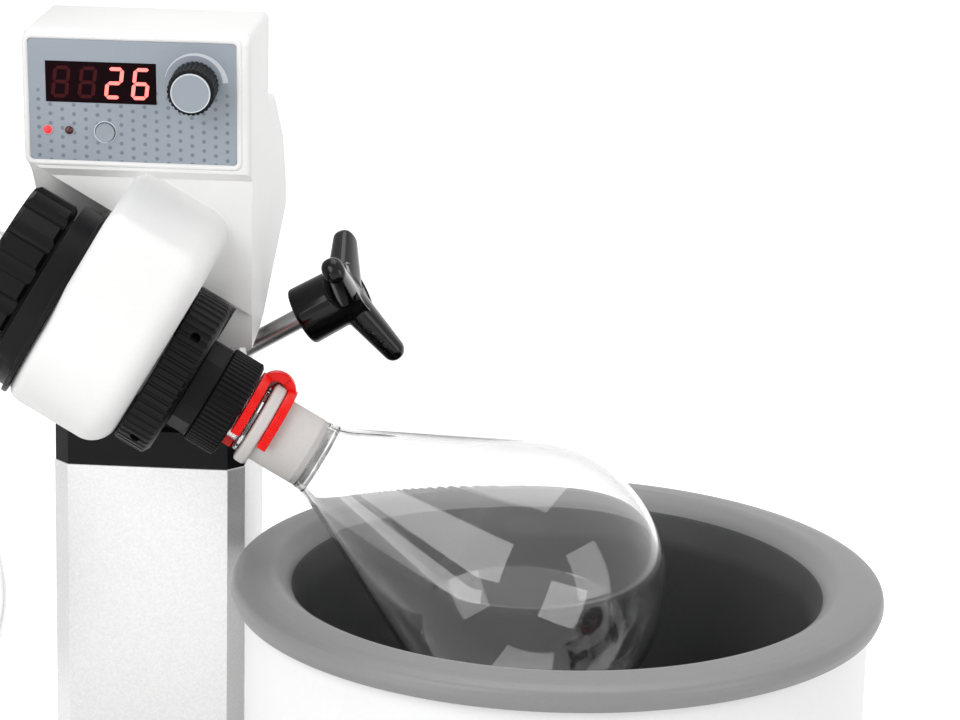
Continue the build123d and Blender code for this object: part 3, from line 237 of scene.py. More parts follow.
class Look(Enum):
    """The finishes of the object, each named for its real material."""

    # Moulded ABS, faintly textured: soft highlights, warm white.
    HOUSING = Finish("moulded_white_abs", "#F0F0EF", 0.42, grain_height_mm=0.006, speckle=0.012)
    # Powder coat on steel: a slight orange peel under a satin gloss.
    ENAMEL = Finish("white_powder_coat", "#F1F1F1", 0.34, grain_mm=2.4, grain_height_mm=0.012,
                    speckle=0.01, patch_depth=0.015)
    # Glass-filled nylon: deep black, the grain breaks its highlight up.
    BLACK = Finish("moulded_black_nylon", "#0B0B0C", 0.4, grain_height_mm=0.01, speckle=0.15,
                   shader=(("Specular IOR Level", 0.16),))
    # Polished phenolic of the lever knob: near mirror gloss.
    GLOSSY_BLACK = Finish("polished_black_phenolic", "#050505", 0.12, grain_mm=6.0,
                          grain_height_mm=0.003, gloss_change=0.03,
                          shader=(("Specular IOR Level", 0.28),))
    # Bead-blasted, clear-anodised aluminium: bright, with a fine even sparkle. The grit is
    # drawn at 1.1 mm, coarser than it is, so that it shows.
    ALUMINIUM = Finish("bead_blasted_aluminium", "#E0E0E0", 0.5, metallic=1.0, grain_mm=1.1,
                       grain_height_mm=0.015, speckle=0.05, patch_depth=0.02)
    # Ground steel bar: grey with drawn lines along it.
    STEEL = Finish("ground_steel", "#B4B4B4", 0.3, metallic=1.0, grain_mm=1.0,
                   stretch=(1.0, 1.0, 0.06), speckle=0.06)
    # Zinc-plated sheet: dull bluish grey with spangle.
    ZINC = Finish("zinc_plated_sheet", "#A9ADB0", 0.4, metallic=1.0, grain_mm=4.0, speckle=0.05)
    # Fluoropolymer coating of the bath's rim: satin warm grey with a soft sheen.
    RIM = Finish("satin_coated_rim", "#858585", 0.4, grain_mm=0.9, grain_height_mm=0.01,
                 speckle=0.03, patch_depth=0.02)
    # The same coating inside the bowl, painted darker: painted shade, for the light that does not
    # reach into it.
    BOWL_PAINTED_SHADE = Finish("satin_coated_bowl_painted_shade", "#4A4A4B", 0.5, grain_mm=0.9, grain_height_mm=0.012,
                  speckle=0.06, patch_depth=0.06)
    # Borosilicate glass, flame-worked: clear, with slow waves in its thickness.
    GLASS = Finish("borosilicate_glass", "#FFFFFF", 0.0, ior=1.473, grain_mm=30.0,
                   grain_height_mm=0.01, speckle=0.0, patch_depth=0.0, gloss_change=0.01,
                   shader=(("Transmission Weight", 1.0),))
    # Ground joint: the same glass with a matt surface of fine pits.
    GROUND = Finish("ground_glass", "#DEDAD7", 0.5, ior=1.473, grain_mm=0.8,
                    grain_height_mm=0.01, speckle=0.03, patch_depth=0.02,
                    shader=(("Transmission Weight", 0.2),))
    # Polyacetal clip: glossy red that lets some light through.
    CLIP = Finish("translucent_red_acetal", "#F4120B", 0.3, ior=1.48, grain_mm=2.0,
                  grain_height_mm=0.004, speckle=0.02, patch_depth=0.04,
                  shader=(("Transmission Weight", 0.08), ("Specular IOR Level", 0.3)))
    # Rubber of the feet: matt black.
    RUBBER = Finish("nitrile_rubber", "#171717", 0.75, grain_mm=1.0, grain_height_mm=0.02,
                    speckle=0.1)
    # PTFE: waxy, a little see-through white.
    PTFE = Finish("turned_ptfe", "#EDEDE8", 0.45, grain_mm=0.8, stretch=(1.0, 1.0, 0.1),
                  shader=(("Subsurface Weight", 0.2), ("Subsurface Scale", 0.003)))
    # Printed film of the panel: a cool grey with a matt hard coat.
    PANEL = DottedOverlay("printed_grey_film", "#98A1AB", 0.36, grain_mm=0.7,
                          grain_height_mm=0.003, speckle=0.015, patch_mm=80.0, patch_depth=0.05)
    # Anodised caps of the knobs: pale blue-grey, matt.
    CAP = Finish("anodised_pale_cap", "#969FA7", 0.38, grain_mm=0.7, grain_height_mm=0.004,
                 speckle=0.015)
    # Thin white print or edge on the panel.
    PRINT = Finish("white_print", "#D6DCE2", 0.4, grain_mm=0.5, grain_height_mm=0.002)
    # Tinted acrylic window of the display: nearly black red, polished.
    WINDOW = Finish("tinted_acrylic_window", "#150409", 0.12, grain_mm=8.0, grain_height_mm=0.002,
                    patch_depth=0.1, gloss_change=0.04, shader=(("Specular IOR Level", 0.03),))
    # Unlit and lit segments seen through the tinted window.
    SEGMENT_OFF = Finish("unlit_red_segment", "#3C0A0F", 0.4, grain_mm=0.8, speckle=0.08,
                         shader=(("Specular IOR Level", 0.1),))
    SEGMENT_ON = Finish("lit_red_segment", "#FF4A4A", 0.3, grain_mm=0.8, speckle=0.05,
                        shader=(("Emission Strength", 1.5),), glow="#FF827A")
    # Diffused epoxy lamps, one lit and one dark.
    LAMP_ON = Finish("lit_red_lamp", "#FF2A30", 0.25, grain_mm=0.8,
                     shader=(("Emission Strength", 1.6),), glow="#FF2028")
    LAMP_OFF = Finish("dark_red_lamp", "#4E1016", 0.22, grain_mm=0.8)
    # Glass-cloth laminate with green resist.
    BOARD = Finish("green_circuit_board", "#1F5A38", 0.4, grain_mm=1.0, speckle=0.1)
    # Screw caps and hose ends moulded in brown phenolic.
    BROWN = Finish("brown_phenolic", "#5A3424", 0.35, grain_mm=1.0, speckle=0.08)

    @property
    def material(self) -> bpy.types.Material:
        """The finish as a material, built once."""
        return built(self.value)


@lru_cache(maxsize=None)
def built(finish: Finish) -> bpy.types.Material:
    """Builds a finish the first time that it is asked for."""
    return finish.build()


# ---- places -----------------------------------------------------------------------------
def corners(node: str) -> tuple[Array, Array]:
    """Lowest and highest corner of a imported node, in millimetres."""
    low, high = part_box(node)
    return np.array(low) / MM, np.array(high) / MM


@dataclass(frozen=True, eq=False)
class Place:
    """A piece's own three directions in the row frame, with an origin in millimetres."""

    origin: Array
    first: Array
    second: Array
    third: Array

    def at(self, first: Any, second: Any, third: Any) -> Array:
        """Row-frame points of local ones.

        Args:
            first: distances along the first direction.
            second: distances along the second direction.
            third: distances along the third direction.

        Returns:
            Points in millimetres, in the arrays' joint shape with one more axis of three.
        """
        local = np.stack(np.broadcast_arrays(first, second, third), -1).astype(float)
        return self.origin + local @ np.array([self.first, self.second, self.third])

    def reach(self, node: str) -> tuple[Array, Array]:
        """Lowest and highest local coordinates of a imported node's points."""
        mesh = frame["nodes"][node].data
        flat = np.empty(len(mesh.vertices) * 3, np.float32)
        mesh.vertices.foreach_get("co", flat)
        local = (flat.reshape(-1, 3) / MM - self.origin) @ np.array(
            [self.first, self.second, self.third]).T
        return local.min(0), local.max(0)


def axis_of(joint: str) -> Place:
    """Place on a joint's axis: along it, to the back, and square to both."""
    row = next(one for one in frame["joints"] if one["name"] == joint)
    first = np.array(row["axis"], float)
    first /= np.linalg.norm(first)
    second = np.array([0.0, 1.0, 0.0])
    return Place(np.array(row["pos_m"], float) / MM, first, second, np.cross(first, second))


def upright_at(x: float, y: float) -> Place:
    """Place on a vertical axis, with its first direction up."""
    return Place(np.array([x, y, 0.0]), np.array([0, 0, 1.0]), np.array([0, 1.0, 0]),
                 np.array([1.0, 0, 0]))


# ---- shapes -----------------------------------------------------------------------------
def rounded(points: Sequence[tuple[float, float]], radius: float | Sequence[float],
            steps: int = 6) -> Array:
    """Rounds the corners of a closed outline.

    Each corner gives way to a quadratic curve that starts on one edge and ends on the
    other, as far from the corner as an arc of that radius would, or at most 48% of the edge.

    Args:
        points: the corners in order.
        radius: one radius, or one for each corner, where 0 keeps it sharp.
        steps: points on each curve.

    Returns:
        The outline's points, corner by corner.
    """
    here = np.array(points, float)
    back = np.roll(here, 1, 0) - here
    ahead = np.roll(here, -1, 0) - here
    back_length = np.linalg.norm(back, axis=1, keepdims=True)
    ahead_length = np.linalg.norm(ahead, axis=1, keepdims=True)
    back, ahead = back / back_length, ahead / ahead_length
    half = np.arccos(np.clip((back * ahead).sum(1), -1, 1)) / 2
    wanted = np.broadcast_to(np.array(radius, float), len(here)) / np.maximum(np.tan(half), 1e-6)
    run = np.minimum(wanted[:, None], 0.48 * np.minimum(back_length, ahead_length))
    t = np.linspace(0, 1, steps)[None, :, None]
    start, end = (here + back * run)[:, None], (here + ahead * run)[:, None]
    return ((1 - t) ** 2 * start + 2 * t * (1 - t) * here[:, None] + t ** 2 * end).reshape(-1, 2)


def arc(centre: tuple[float, float], radius: float, start: float, end: float,
        steps: int = 24) -> Array:
    """Points on a circle from one angle to another, in degrees."""
    angle = np.radians(np.linspace(start, end, steps))
    return np.array(centre) + radius * np.stack([np.cos(angle), np.sin(angle)], -1)


@dataclass
class Shape:
    """Surfaces gathered point by point until they become one piece."""

    points: list[Array] = field(default_factory=list)
    faces: list[list[int]] = field(default_factory=list)
    looks: list[int] = field(default_factory=list)
    count: int = 0

    def grid(self, points: Array, closed: tuple[bool, bool] = (False, True),
             caps: bool = False, look: int | Array = 0) -> "Shape":
        """Adds a surface given as rows and columns of points.

        Four neighbours make a face. A closed direction joins its last line to its first.

        Args:
            points: rows by columns by three, in millimetres.
            closed: whether the rows and the columns run on round to their start.
            caps: whether the first and the last row are filled.
            look: number of the finish, or one number for each row of faces.

        Returns:
            The shape itself.
        """
        rows, columns = points.shape[:2]
        row = np.arange(rows if closed[0] else rows - 1)[:, None]
        column = np.arange(columns if closed[1] else columns - 1)[None, :]
        below, beside = (row + 1) % rows, (column + 1) % columns
        quads = np.stack(np.broadcast_arrays(
            row * columns + column, row * columns + beside, below * columns + beside,
            below * columns + column), -1)
        numbers = np.broadcast_to(np.broadcast_to(look, len(row))[:, None], quads.shape[:2])
        self.faces += (quads.reshape(-1, 4) + self.count).tolist()
        self.looks += numbers.ravel().tolist()
        if caps:
            ends = (np.arange(columns)[::-1], np.arange(columns) + (rows - 1) * columns)
            self.faces += [(end + self.count).tolist() for end in ends]
            self.looks += [int(np.max(look))] * 2
        self.points.append(points.reshape(-1, 3))
        self.count += rows * columns
        return self

    def turned(self, place: Place, profile: Array, around: int = AROUND,
               closed: bool = True, look: int | Array = 0) -> "Shape":
        """Adds a surface turned about a place's first direction.

        A profile point at distance s and radius r gives s along the axis, with r times the
        sine and the cosine of the angle square to it.
        """
        angle = np.linspace(0, 2 * pi, around, endpoint=False)[None, :]
        along, radius = profile[:, :1], profile[:, 1:]
        points = place.at(along + 0 * angle, radius * np.sin(angle), radius * np.cos(angle))
        return self.grid(points, (closed, True), look=look)

    def piece(self, name: str, body: str, slot: str, looks: Sequence[Look],
              stands_for: Sequence[str] = (), sharp: float = 35.0,
              outwards: bool = True) -> bpy.types.Object:
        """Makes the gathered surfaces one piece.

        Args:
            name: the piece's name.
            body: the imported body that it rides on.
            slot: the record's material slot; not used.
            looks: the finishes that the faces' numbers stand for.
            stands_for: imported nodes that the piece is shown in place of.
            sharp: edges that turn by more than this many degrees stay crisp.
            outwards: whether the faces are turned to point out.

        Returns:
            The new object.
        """
        mesh = bpy.data.meshes.new(name)
        mesh.from_pydata((np.concatenate(self.points) * MM).tolist(), [], self.faces)
        mesh.polygons.foreach_set("material_index", np.array(self.looks, np.int32))
        made = bpy.data.objects.new(name, mesh)
        return finished(made, body, looks, stands_for, sharp, outwards)


def finished(made: bpy.types.Object, body: str, looks: Sequence[Look],
             stands_for: Sequence[str], sharp: float, outwards: bool) -> bpy.types.Object:
    """Merges a new mesh, shades and dresses it and sets it on its body.

    Args:
        made: the object, with its mesh.
        body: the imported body.
        looks: finishes in slot order.
        stands_for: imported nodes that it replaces.
        sharp: crease angle in degrees.
        outwards: whether faces are turned to point out.

    Returns:
        The same object.
    """
    mesh = made.data
    bpy.context.scene.collection.objects.link(made)
    work = bmesh.new()
    work.from_mesh(mesh)
    bmesh.ops.remove_doubles(work, verts=work.verts, dist=MERGE_MM * MM)
    bmesh.ops.dissolve_degenerate(work, edges=work.edges, dist=MERGE_MM * MM / 2)
    if outwards:
        bmesh.ops.recalc_face_normals(work, faces=work.faces)
    work.to_mesh(mesh)
    work.free()
    mesh.polygons.foreach_set("use_smooth", np.ones(len(mesh.polygons), bool))
    mesh.set_sharp_from_angle(angle=radians(sharp))
    for look in looks:
        mesh.materials.append(look.material)
    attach(made, body)
    if stands_for:
        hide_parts(*stands_for)
    return made


def body_of_node(node: str) -> str:
    """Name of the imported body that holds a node."""
    return frame["nodes"][node]["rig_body"]


def refined(node: str, look: Look, edge_mm: float = 0.5,
            sharp: float = 32.0) -> bpy.types.Object:
    """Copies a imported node, cleans its mesh and breaks its edges.

    Args:
        node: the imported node.
        look: its finish.
        edge_mm: width of the small bevel on every crisp edge, or 0 for none.
        sharp: crease angle in degrees.

    Returns:
        The piece that stands for the node.
    """
    made = bpy.data.objects.new(f"{node}_finished", frame["nodes"][node].data.copy())
    mesh = made.data
    mesh.materials.clear()
    if mesh.has_custom_normals:
        mesh.attributes.remove(mesh.attributes["custom_normal"])
    work = bmesh.new()
    work.from_mesh(mesh)
    bmesh.ops.remove_doubles(work, verts=work.verts, dist=MERGE_MM * MM)
    bmesh.ops.dissolve_limit(work, angle_limit=radians(0.6), verts=work.verts, edges=work.edges)
    work.to_mesh(mesh)
    work.free()
    finished(made, body_of_node(node), (look,), (node,), sharp, False)
    if edge_mm:
        bevel = made.modifiers.new("broken_edges", "BEVEL")
        bevel.width = edge_mm * MM
        bevel.segments = 2
        bevel.limit_method = "ANGLE"
        bevel.angle_limit = radians(sharp)
        bevel.harden_normals = True
    return made


def dress(look: Look, slot: str, *nodes: str) -> None:
    """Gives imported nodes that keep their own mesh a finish."""
    for node in nodes:
        piece = frame["nodes"][node]
        piece.data.materials.clear()
        piece.data.materials.append(look.material)


def solid_outline(shape: Shape, place: Place, outline: Array,
                  stations: Sequence[tuple[float, float]], look: int = 0) -> Shape:
    """Adds a solid whose outline is carried along a place's first direction.

    At each station the outline is drawn in along its own normals. The normal is the turned
    difference of the two neighbouring points.

    Args:
        shape: what the surface is added to.
        place: where it goes.
        outline: closed outline in the second and third directions.
        stations: pairs of distance and inset, in order.
        look: number of the finish.

    Returns:
        The shape itself.
    """
    along = np.roll(outline, -1, 0) - np.roll(outline, 1, 0)
    normal = np.stack([along[:, 1], -along[:, 0]], -1)
    normal /= np.maximum(np.linalg.norm(normal, axis=1, keepdims=True), 1e-9)
    turn = np.sign((outline[:, 0] * np.roll(outline[:, 1], -1)
                    - np.roll(outline[:, 0], -1) * outline[:, 1]).sum())
    where = np.array(stations, float)
    rings = outline[None] - turn * where[:, 1, None, None] * normal[None]
    points = place.at(where[:, :1] + 0 * rings[..., 0], rings[..., 0], rings[..., 1])
    return shape.grid(points, (False, True), caps=True, look=look)


def soft_ends(low: float, high: float, radius: float, steps: int = 6) -> list[tuple[float, float]]:
    """Stations of a prism with quarter-round edges: inset falls as the sine grows."""
    angle = np.linspace(0, pi / 2, steps)
    first = sorted({(round(low + radius * (1 - cos(a)), 4), round(radius * (1 - sin(a)), 4))
                    for a in angle})
    return first + [(low + high - s, inset) for s, inset in first[::-1]]


def tube(shape: Shape, path: Array, radius: float, around: int = 20, look: int = 0) -> Shape:
    """Adds a round tube along a path.

    The section turns with the path: its first direction is square to the path and to a
    fixed slanted direction, the second is square to both.
    """
    ahead = np.gradient(path, axis=0)
    ahead /= np.linalg.norm(ahead, axis=1, keepdims=True)
    side = np.cross(ahead, np.array([0.02, 0.05, 1.0]))
    flat = np.linalg.norm(side, axis=1, keepdims=True) < 0.2
    side = np.where(flat, np.cross(ahead, np.array([0.0, 1.0, 0.05])), side)
    side /= np.linalg.norm(side, axis=1, keepdims=True)
    up = np.cross(side, ahead)
    angle = np.linspace(0, 2 * pi, around, endpoint=False)[None, :, None]
    points = path[:, None] + radius * (np.cos(angle) * side[:, None] + np.sin(angle) * up[:, None])
    return shape.grid(points, (False, True), caps=True, look=look)


# ---- sub-assemblies ---------------------------------------------------------------------
@dataclass
class Base:
    """Moulded base on its feet, with the mains parts."""

    edge_mm: float = 0.8

    def make(self) -> None:
        """Finishes the cover, plate, feet, screws, inlets and main switch."""
        refined("base_cover", Look.HOUSING, self.edge_mm)
        refined("base_feet", Look.RUBBER, 0.6)
        refined("mains_inlets", Look.BLACK, 0.3)
        refined("main_switch_rocker", Look.BLACK, 0.5)
        dress(Look.ZINC, "zinc_plate", "base_plate", "power_supply")
        dress(Look.STEEL, "steel", "base_screws")


@dataclass
class Column:
    """Aluminium column with the lift inside it and the depth stop on its front."""

    lobes: int = 9
    lobe_depth: float = 3.6
    edge_round: float = 3.0
    boss_share: float = 0.55

    def depth_knob(self) -> None:
        """Makes the lobed knob.

        The outline's radius is the knob's radius less a share of the cosine of the lobe
        count times the angle, so that hollows and lobes follow one another smoothly.
        """
        place = axis_of("depth_stop_turn")
        low, high = place.reach("depth_knob")
        radius = high[1]
        angle = np.linspace(0, 2 * pi, 180, endpoint=False)
        hollow = np.clip(0.5 + 0.5 * np.cos(self.lobes * angle), 0, 1) ** 3
        outline = (radius - self.lobe_depth * hollow)[:, None] * np.stack(
            [np.sin(angle), np.cos(angle)], -1)
        shape = Shape()
        solid_outline(shape, place, outline, soft_ends(1.0, high[0], self.edge_round))
        shape.turned(place, np.array([[low[0], 0], [low[0], 4.0], [2, 4.0], [2, 0]]), 32, False)
        boss = self.boss_share * radius
        shape.turned(place, rounded([(high[0] - 0.5, 0), (high[0] - 0.5, boss),
                                     (high[0], boss), (high[0], 0)], [0, 0.2, 0.2, 0]), 64, False)
        shape.piece("depth_knob_lobed", "depth_stop", "black_plastic", (Look.BLACK,),
                    ("depth_knob",))

    def make(self) -> None:
        """Finishes the column, the collar and the parts of the lift."""
        refined("column", Look.ALUMINIUM, 0.5)
        refined("column_collar", Look.BLACK, 0.6)
        refined("mast", Look.ALUMINIUM, 0.5)
        refined("brake_bar", Look.STEEL, 0.4)
        refined("lock_block", Look.ALUMINIUM, 0.6)
        dress(Look.ZINC, "zinc_plate", "head_chassis")
        dress(Look.PTFE, "ptfe", "mast_bush", "mast_shoe")
        dress(Look.STEEL, "steel", "gas_spring_body", "gas_spring_rod")
        self.depth_knob()


@dataclass
class Bath:
    """Round heating bath: coated bowl, outer wall and controls."""

    sheet: float = 3.2
    corner_steps: int = 8

    def bowl(self) -> None:
        """Makes the bowl with its broad rolled rim from one turned profile.

        The inner side runs from the middle of the floor up to the mouth, over the rim and
        down its outer roll, and the outer side comes back a sheet's thickness away. The rows of the
        inner side, from the floor up to the mouth, take a darker copy of the rim's coating: painted
        shade inside the bowl.
        """
        low, high = corners("bath_bowl")
        middle = (low + high) / 2
        out, top, floor = high[0] - middle[0], high[2], low[2] + 2.0
        profile = [
            (floor, 0), (floor, out - 54), (floor + 22, out - 37.5), (top - 22, out - 32.5),
            (top - 6, out - 28.0), (top, out - 20.5), (top - 0.9, out - 10.0),
            (top - 1.6, out - 6.0), (top - 3.4, out - 0.8), (top - 8.5, out - 0.1),
            (top - 12.6, out - 1.6), (top - 12.2, out - 3.2), (top - 7.0, out - 3.2),
            (top - 3.6, out - 8.0), (top - self.sheet, out - 20.0), (top - 9.5, out - 25.6),
            (top - 23, out - 30.4), (floor + 21, out - 35.4), (floor - 2, out - 53), (floor - 2, 0),
        ]
        radii = [0, 22, 22, 30, 12, 7, 8, 8, 5, 5, 0.7, 0.7, 3, 4, 8, 10, 28, 20, 20, 0]
        shaped = rounded(profile, radii, self.corner_steps)
        # Rows of the inner side take the darker copy of the coating: painted shade.
        painted_shade_rows = self.corner_steps * 4 + 2
        look = np.where(np.arange(len(shaped) - 1) < painted_shade_rows, 1, 0)
        shape = Shape().turned(upright_at(middle[0], middle[1]), shaped, 160, False, look)
        shape.piece("bath_bowl_coated", "base", "coated_bowl", (Look.RIM, Look.BOWL_PAINTED_SHADE),
                    ("bath_bowl",))

    def make(self) -> None:
        """Makes the bowl and finishes the wall, the front plate and the controls."""
        self.bowl()
        refined("bath_shell", Look.ENAMEL, 0.8, 20.0)
        refined("bath_fascia", Look.CAP, 0.5)
        refined("bath_knob", Look.BLACK, 0.5)
        refined("bath_rocker", Look.BLACK, 0.5)
        refined("bath_board", Look.WINDOW, 0.0)
        dress(Look.STEEL, "steel", "bath_heater")


@dataclass
class ControlPanel:
    """Slanted control panel: film, display, lamps, button and speed knob."""

    digit_height: float = 15.0
    digit_width: float = 7.9
    digit_pitch: float = 12.2
    stroke: float = 1.7
    slant: float = 0.12
    reading: str = "  26"
    proud: float = 0.06
    knob_radius: float = 10.9
    disc_radius: float = 9.0
    ribs: int = 30
    rib_depth: float = 0.55
    arc_radius: float = 13.9
    arc_start: float = 168.0
    arc_end: float = 4.0
    film_corner: float = 2.4
    lip_width: float = 2.6
    lip_corner: float = 4.5
    lip_height: float = 0.7

    SEGMENTS: ClassVar[dict[str, str]] = {" ": "", "2": "abged", "6": "afgedc"}

    def __post_init__(self) -> None:
        """Works out the panel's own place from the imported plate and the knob's axis."""
        into = next(j for j in frame["joints"] if j["name"] == "speed_dial_turn")
        outward = -np.array(into["axis"], float)
        outward /= np.linalg.norm(outward)
        across = np.array([1.0, 0.0, 0.0])
        up = np.cross(outward, across)
        low, high = corners("control_panel")
        rough = Place((low + high) / 2, across, up, outward)
        face = rough.reach("control_panel")[1][2]
        self.place = Place(rough.origin + face * outward, across, up, outward)

    def middle_of(self, node: str) -> Array:
        """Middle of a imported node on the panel, across and up."""
        low, high = self.place.reach(node)
        return ((low + high) / 2)[:2]

    def flat(self, shape: Shape, outline: Array, low: float, high: float, look: int = 0) -> Shape:
        """Adds a thin plate with a given outline between two heights over the panel."""
        points = self.place.at(outline[None, :, 0], outline[None, :, 1],
                               np.array([[low], [high]]))
        return shape.grid(points, (False, True), caps=True, look=look)

    def film(self) -> None:
        """Finishes the plate and gives it a map in millimetres for its printed dots."""
        made = refined("control_panel", Look.PANEL, 0.25)
        mesh = made.data
        flat = np.empty(len(mesh.vertices) * 3, np.float32)
        mesh.vertices.foreach_get("co", flat)
        local = (flat.reshape(-1, 3) / MM - self.place.origin) @ np.array(
            [self.place.first, self.place.second]).T
        vertex = np.empty(len(mesh.loops), np.int32)
        mesh.loops.foreach_get("vertex_index", vertex)
        film = mesh.uv_layers.get("film") or mesh.uv_layers.new(name="film")
        film.data.foreach_set("uv", local[vertex].astype(np.float32).ravel())

    def lip(self) -> None:
        """Makes the raised white lip round the film, which closes the opening's corners.

        Its section runs up the outside, over a flat crest and down the inside.
        """
        low, high = self.place.reach("control_panel")
        inner, outer = (
            rounded([(low[0] - grow, low[1] - grow), (high[0] + grow, low[1] - grow),
                     (high[0] + grow, high[1] + grow), (low[0] - grow, high[1] + grow)],
                    bend, 8)
            for grow, bend in ((0.1, self.film_corner), (self.lip_width, self.lip_corner)))
        crest = inner + 0.3 * (outer - inner), inner + 0.75 * (outer - inner)
        outline = np.stack([outer, outer, crest[1], crest[0], inner, inner])
        height = np.array([-1.0, 0.0, self.lip_height, self.lip_height, 0.1, -1.0])[:, None]
        Shape().grid(self.place.at(outline[..., 0], outline[..., 1], height), (True, True)).piece(
            "panel_lip", "lift", "white_housing", (Look.HOUSING,), (), 60.0)

    def segment(self, name: str) -> Array:
        """Six-cornered outline of one display segment about the digit's middle."""
        half = self.stroke / 2
        wide, tall = self.digit_width / 2 - half, self.digit_height / 2 - half
        ends = {"a": ((-wide, tall), (wide, tall)), "g": ((-wide, 0), (wide, 0)),
                "d": ((-wide, -tall), (wide, -tall)), "f": ((-wide, 0), (-wide, tall)),
                "b": ((wide, 0), (wide, tall)), "e": ((-wide, -tall), (-wide, 0)),
                "c": ((wide, -tall), (wide, 0))}
        start, end = (np.array(one, float) for one in ends[name])
        ahead = (end - start) / np.linalg.norm(end - start)
        start, end = start + 0.18 * ahead, end - 0.18 * ahead
        side = np.array([-ahead[1], ahead[0]]) * half
        return np.array([start, start + half * ahead + side, end - half * ahead + side, end,
                         end - half * ahead - side, start + half * ahead - side])

    def display(self) -> None:
        """Makes the window and the slanted segments, lit ones and dark ones."""
        refined("display_module", Look.WINDOW, 0.3)
        centre = self.middle_of("display_module")
        lit, dark = Shape(), Shape()
        for number, figure in enumerate(self.reading):
            for name in "abcdefg":
                corner = self.segment(name)
                corner = corner + np.array([self.slant, 0]) * corner[:, 1:]
                corner = corner + centre + [(number - 1.5) * self.digit_pitch, 0]
                on = name in self.SEGMENTS[figure]
                if on or figure == " ":
                    self.flat(lit if on else dark, corner, 0.01, self.proud)
        lit.piece("display_lit_segments", "lift", "lamp", (Look.SEGMENT_ON,))
        dark.piece("display_dark_segments", "lift", "display_black", (Look.SEGMENT_OFF,))

    def lamps(self) -> None:
        """Makes the two domed lamps with their thin rings."""
        low, high = self.place.reach("status_lamps")
        spots = (low[0] + 2.0, high[0] - 2.0)
        level = (low[1] + high[1]) / 2
        for name, across, look in (("lamp_lit", spots[0], Look.LAMP_ON),
                                   ("lamp_dark", spots[1], Look.LAMP_OFF)):
            place = Place(self.place.at(across, level, 0.0), self.place.third,
                          self.place.first, self.place.second)
            dome = np.concatenate([[[-6.0, 0.0], [-6.0, 1.9]], arc((0.0, 0.0), 1.9, 90, 0, 10)
                                   * [0.6, 1.0]])
            Shape().turned(place, dome, 32, False).piece(
                name, "lift", "lamp", (look,), ("status_lamps",) if name == "lamp_lit" else ())
            ring = rounded([(0.0, 1.95), (0.35, 1.95), (0.35, 2.5), (0.0, 2.5)], 0.12, 3)
            Shape().turned(place, ring, 40).piece(f"{name}_ring", "lift", "grey_panel", (Look.CAP,))

    def button(self) -> None:
        """Makes the round button with its pale edge."""
        place = Place(self.place.at(*self.middle_of("interval_button"), 0.0), self.place.third,
                      self.place.first, self.place.second)
        low, high = place.reach("interval_button")
        profile = rounded([(low[0], 0), (low[0], 1.5), (-3, 1.5), (-3, 4.35), (high[0], 4.35),
                           (high[0] - 0.15, 3.7), (high[0] - 0.15, 0)],
                          [0, 0, 0, 0.2, 0.35, 0.2, 0], 4)
        Shape().turned(place, profile, 64, False).piece(
            "interval_button_cap", "mode_button", "grey_panel", (Look.CAP,), ("interval_button",))
        ring = rounded([(0.0, 4.75), (0.25, 4.75), (0.25, 5.25), (0.0, 5.25)], 0.08, 3)
        Shape().turned(place, ring, 72).piece("interval_ring", "lift", "grey_panel", (Look.PRINT,))

    def speed_knob(self) -> None:
        """Makes the ribbed knob, its pale cap and the printed arc that widens clockwise.

        The knob's radius falls by a smooth wave between its ribs.
        """
        across, up = self.middle_of("speed_knob")
        place = Place(self.place.at(across, up, 0.0), self.place.third, self.place.first,
                      self.place.second)
        low, high = place.reach("speed_knob")
        cap_high = place.reach("speed_knob_cap")[1]
        angle = np.linspace(0, 2 * pi, 240, endpoint=False)
        rib = self.rib_depth * (0.5 + 0.5 * np.cos(self.ribs * angle)) ** 2
        outline = (self.knob_radius - rib)[:, None] * np.stack([np.sin(angle), np.cos(angle)], -1)
        shape = Shape()
        solid_outline(shape, place, outline, [(0.4, 0.3), (0.7, 0)] + soft_ends(
            0.8, high[0], 0.9)[-7:])
        shape.turned(place, np.array([[low[0], 0], [low[0], 3.0], [1, 3.0], [1, 0]]), 24, False)
        shape.piece("speed_knob_ribbed", "speed_dial", "black_plastic", (Look.BLACK,),
                    ("speed_knob",))
        top = cap_high[0]
        edge = self.disc_radius
        disc = rounded([(top - 1.2, 0), (top - 1.2, edge), (top, edge), (top - 0.12, edge - 0.5),
                        (top - 0.12, 0)], [0, 0.1, 0.15, 0.1, 0], 4)
        look = np.where(np.arange(len(disc) - 1) < 14, 1, 0)
        Shape().turned(place, disc, 96, False, look).piece(
            "speed_knob_disc", "speed_dial", "pale_cap", (Look.CAP, Look.PRINT),
            ("speed_knob_cap",))
        sweep = np.linspace(0, 1, 60)
        turn = np.radians(self.arc_start + (self.arc_end - self.arc_start) * sweep)
        half = 0.15 + 1.15 * sweep ** 1.3
        ring = np.stack([np.cos(turn), np.sin(turn)], -1)
        edges = np.concatenate([(self.arc_radius + half)[:, None] * ring,
                                ((self.arc_radius - half)[:, None] * ring)[::-1]])
        self.flat(Shape(), edges + [across, up], 0.0, 0.05).piece(
            "speed_arc", "lift", "grey_panel", (Look.PRINT,))

    def make(self) -> None:
        """Makes every piece of the panel."""
        self.film()
        self.lip()
        self.display()
        self.lamps()
        self.button()
        self.speed_knob()
        dress(Look.BOARD, "board_green", "control_board")


@dataclass
class Head:
    """White head shells with the control panel."""

    def make(self) -> None:
        """Finishes both shells and makes the panel."""
        refined("head_front_shell", Look.HOUSING, 1.0)
        refined("head_rear_shell", Look.HOUSING, 1.0)
        ControlPanel().make()


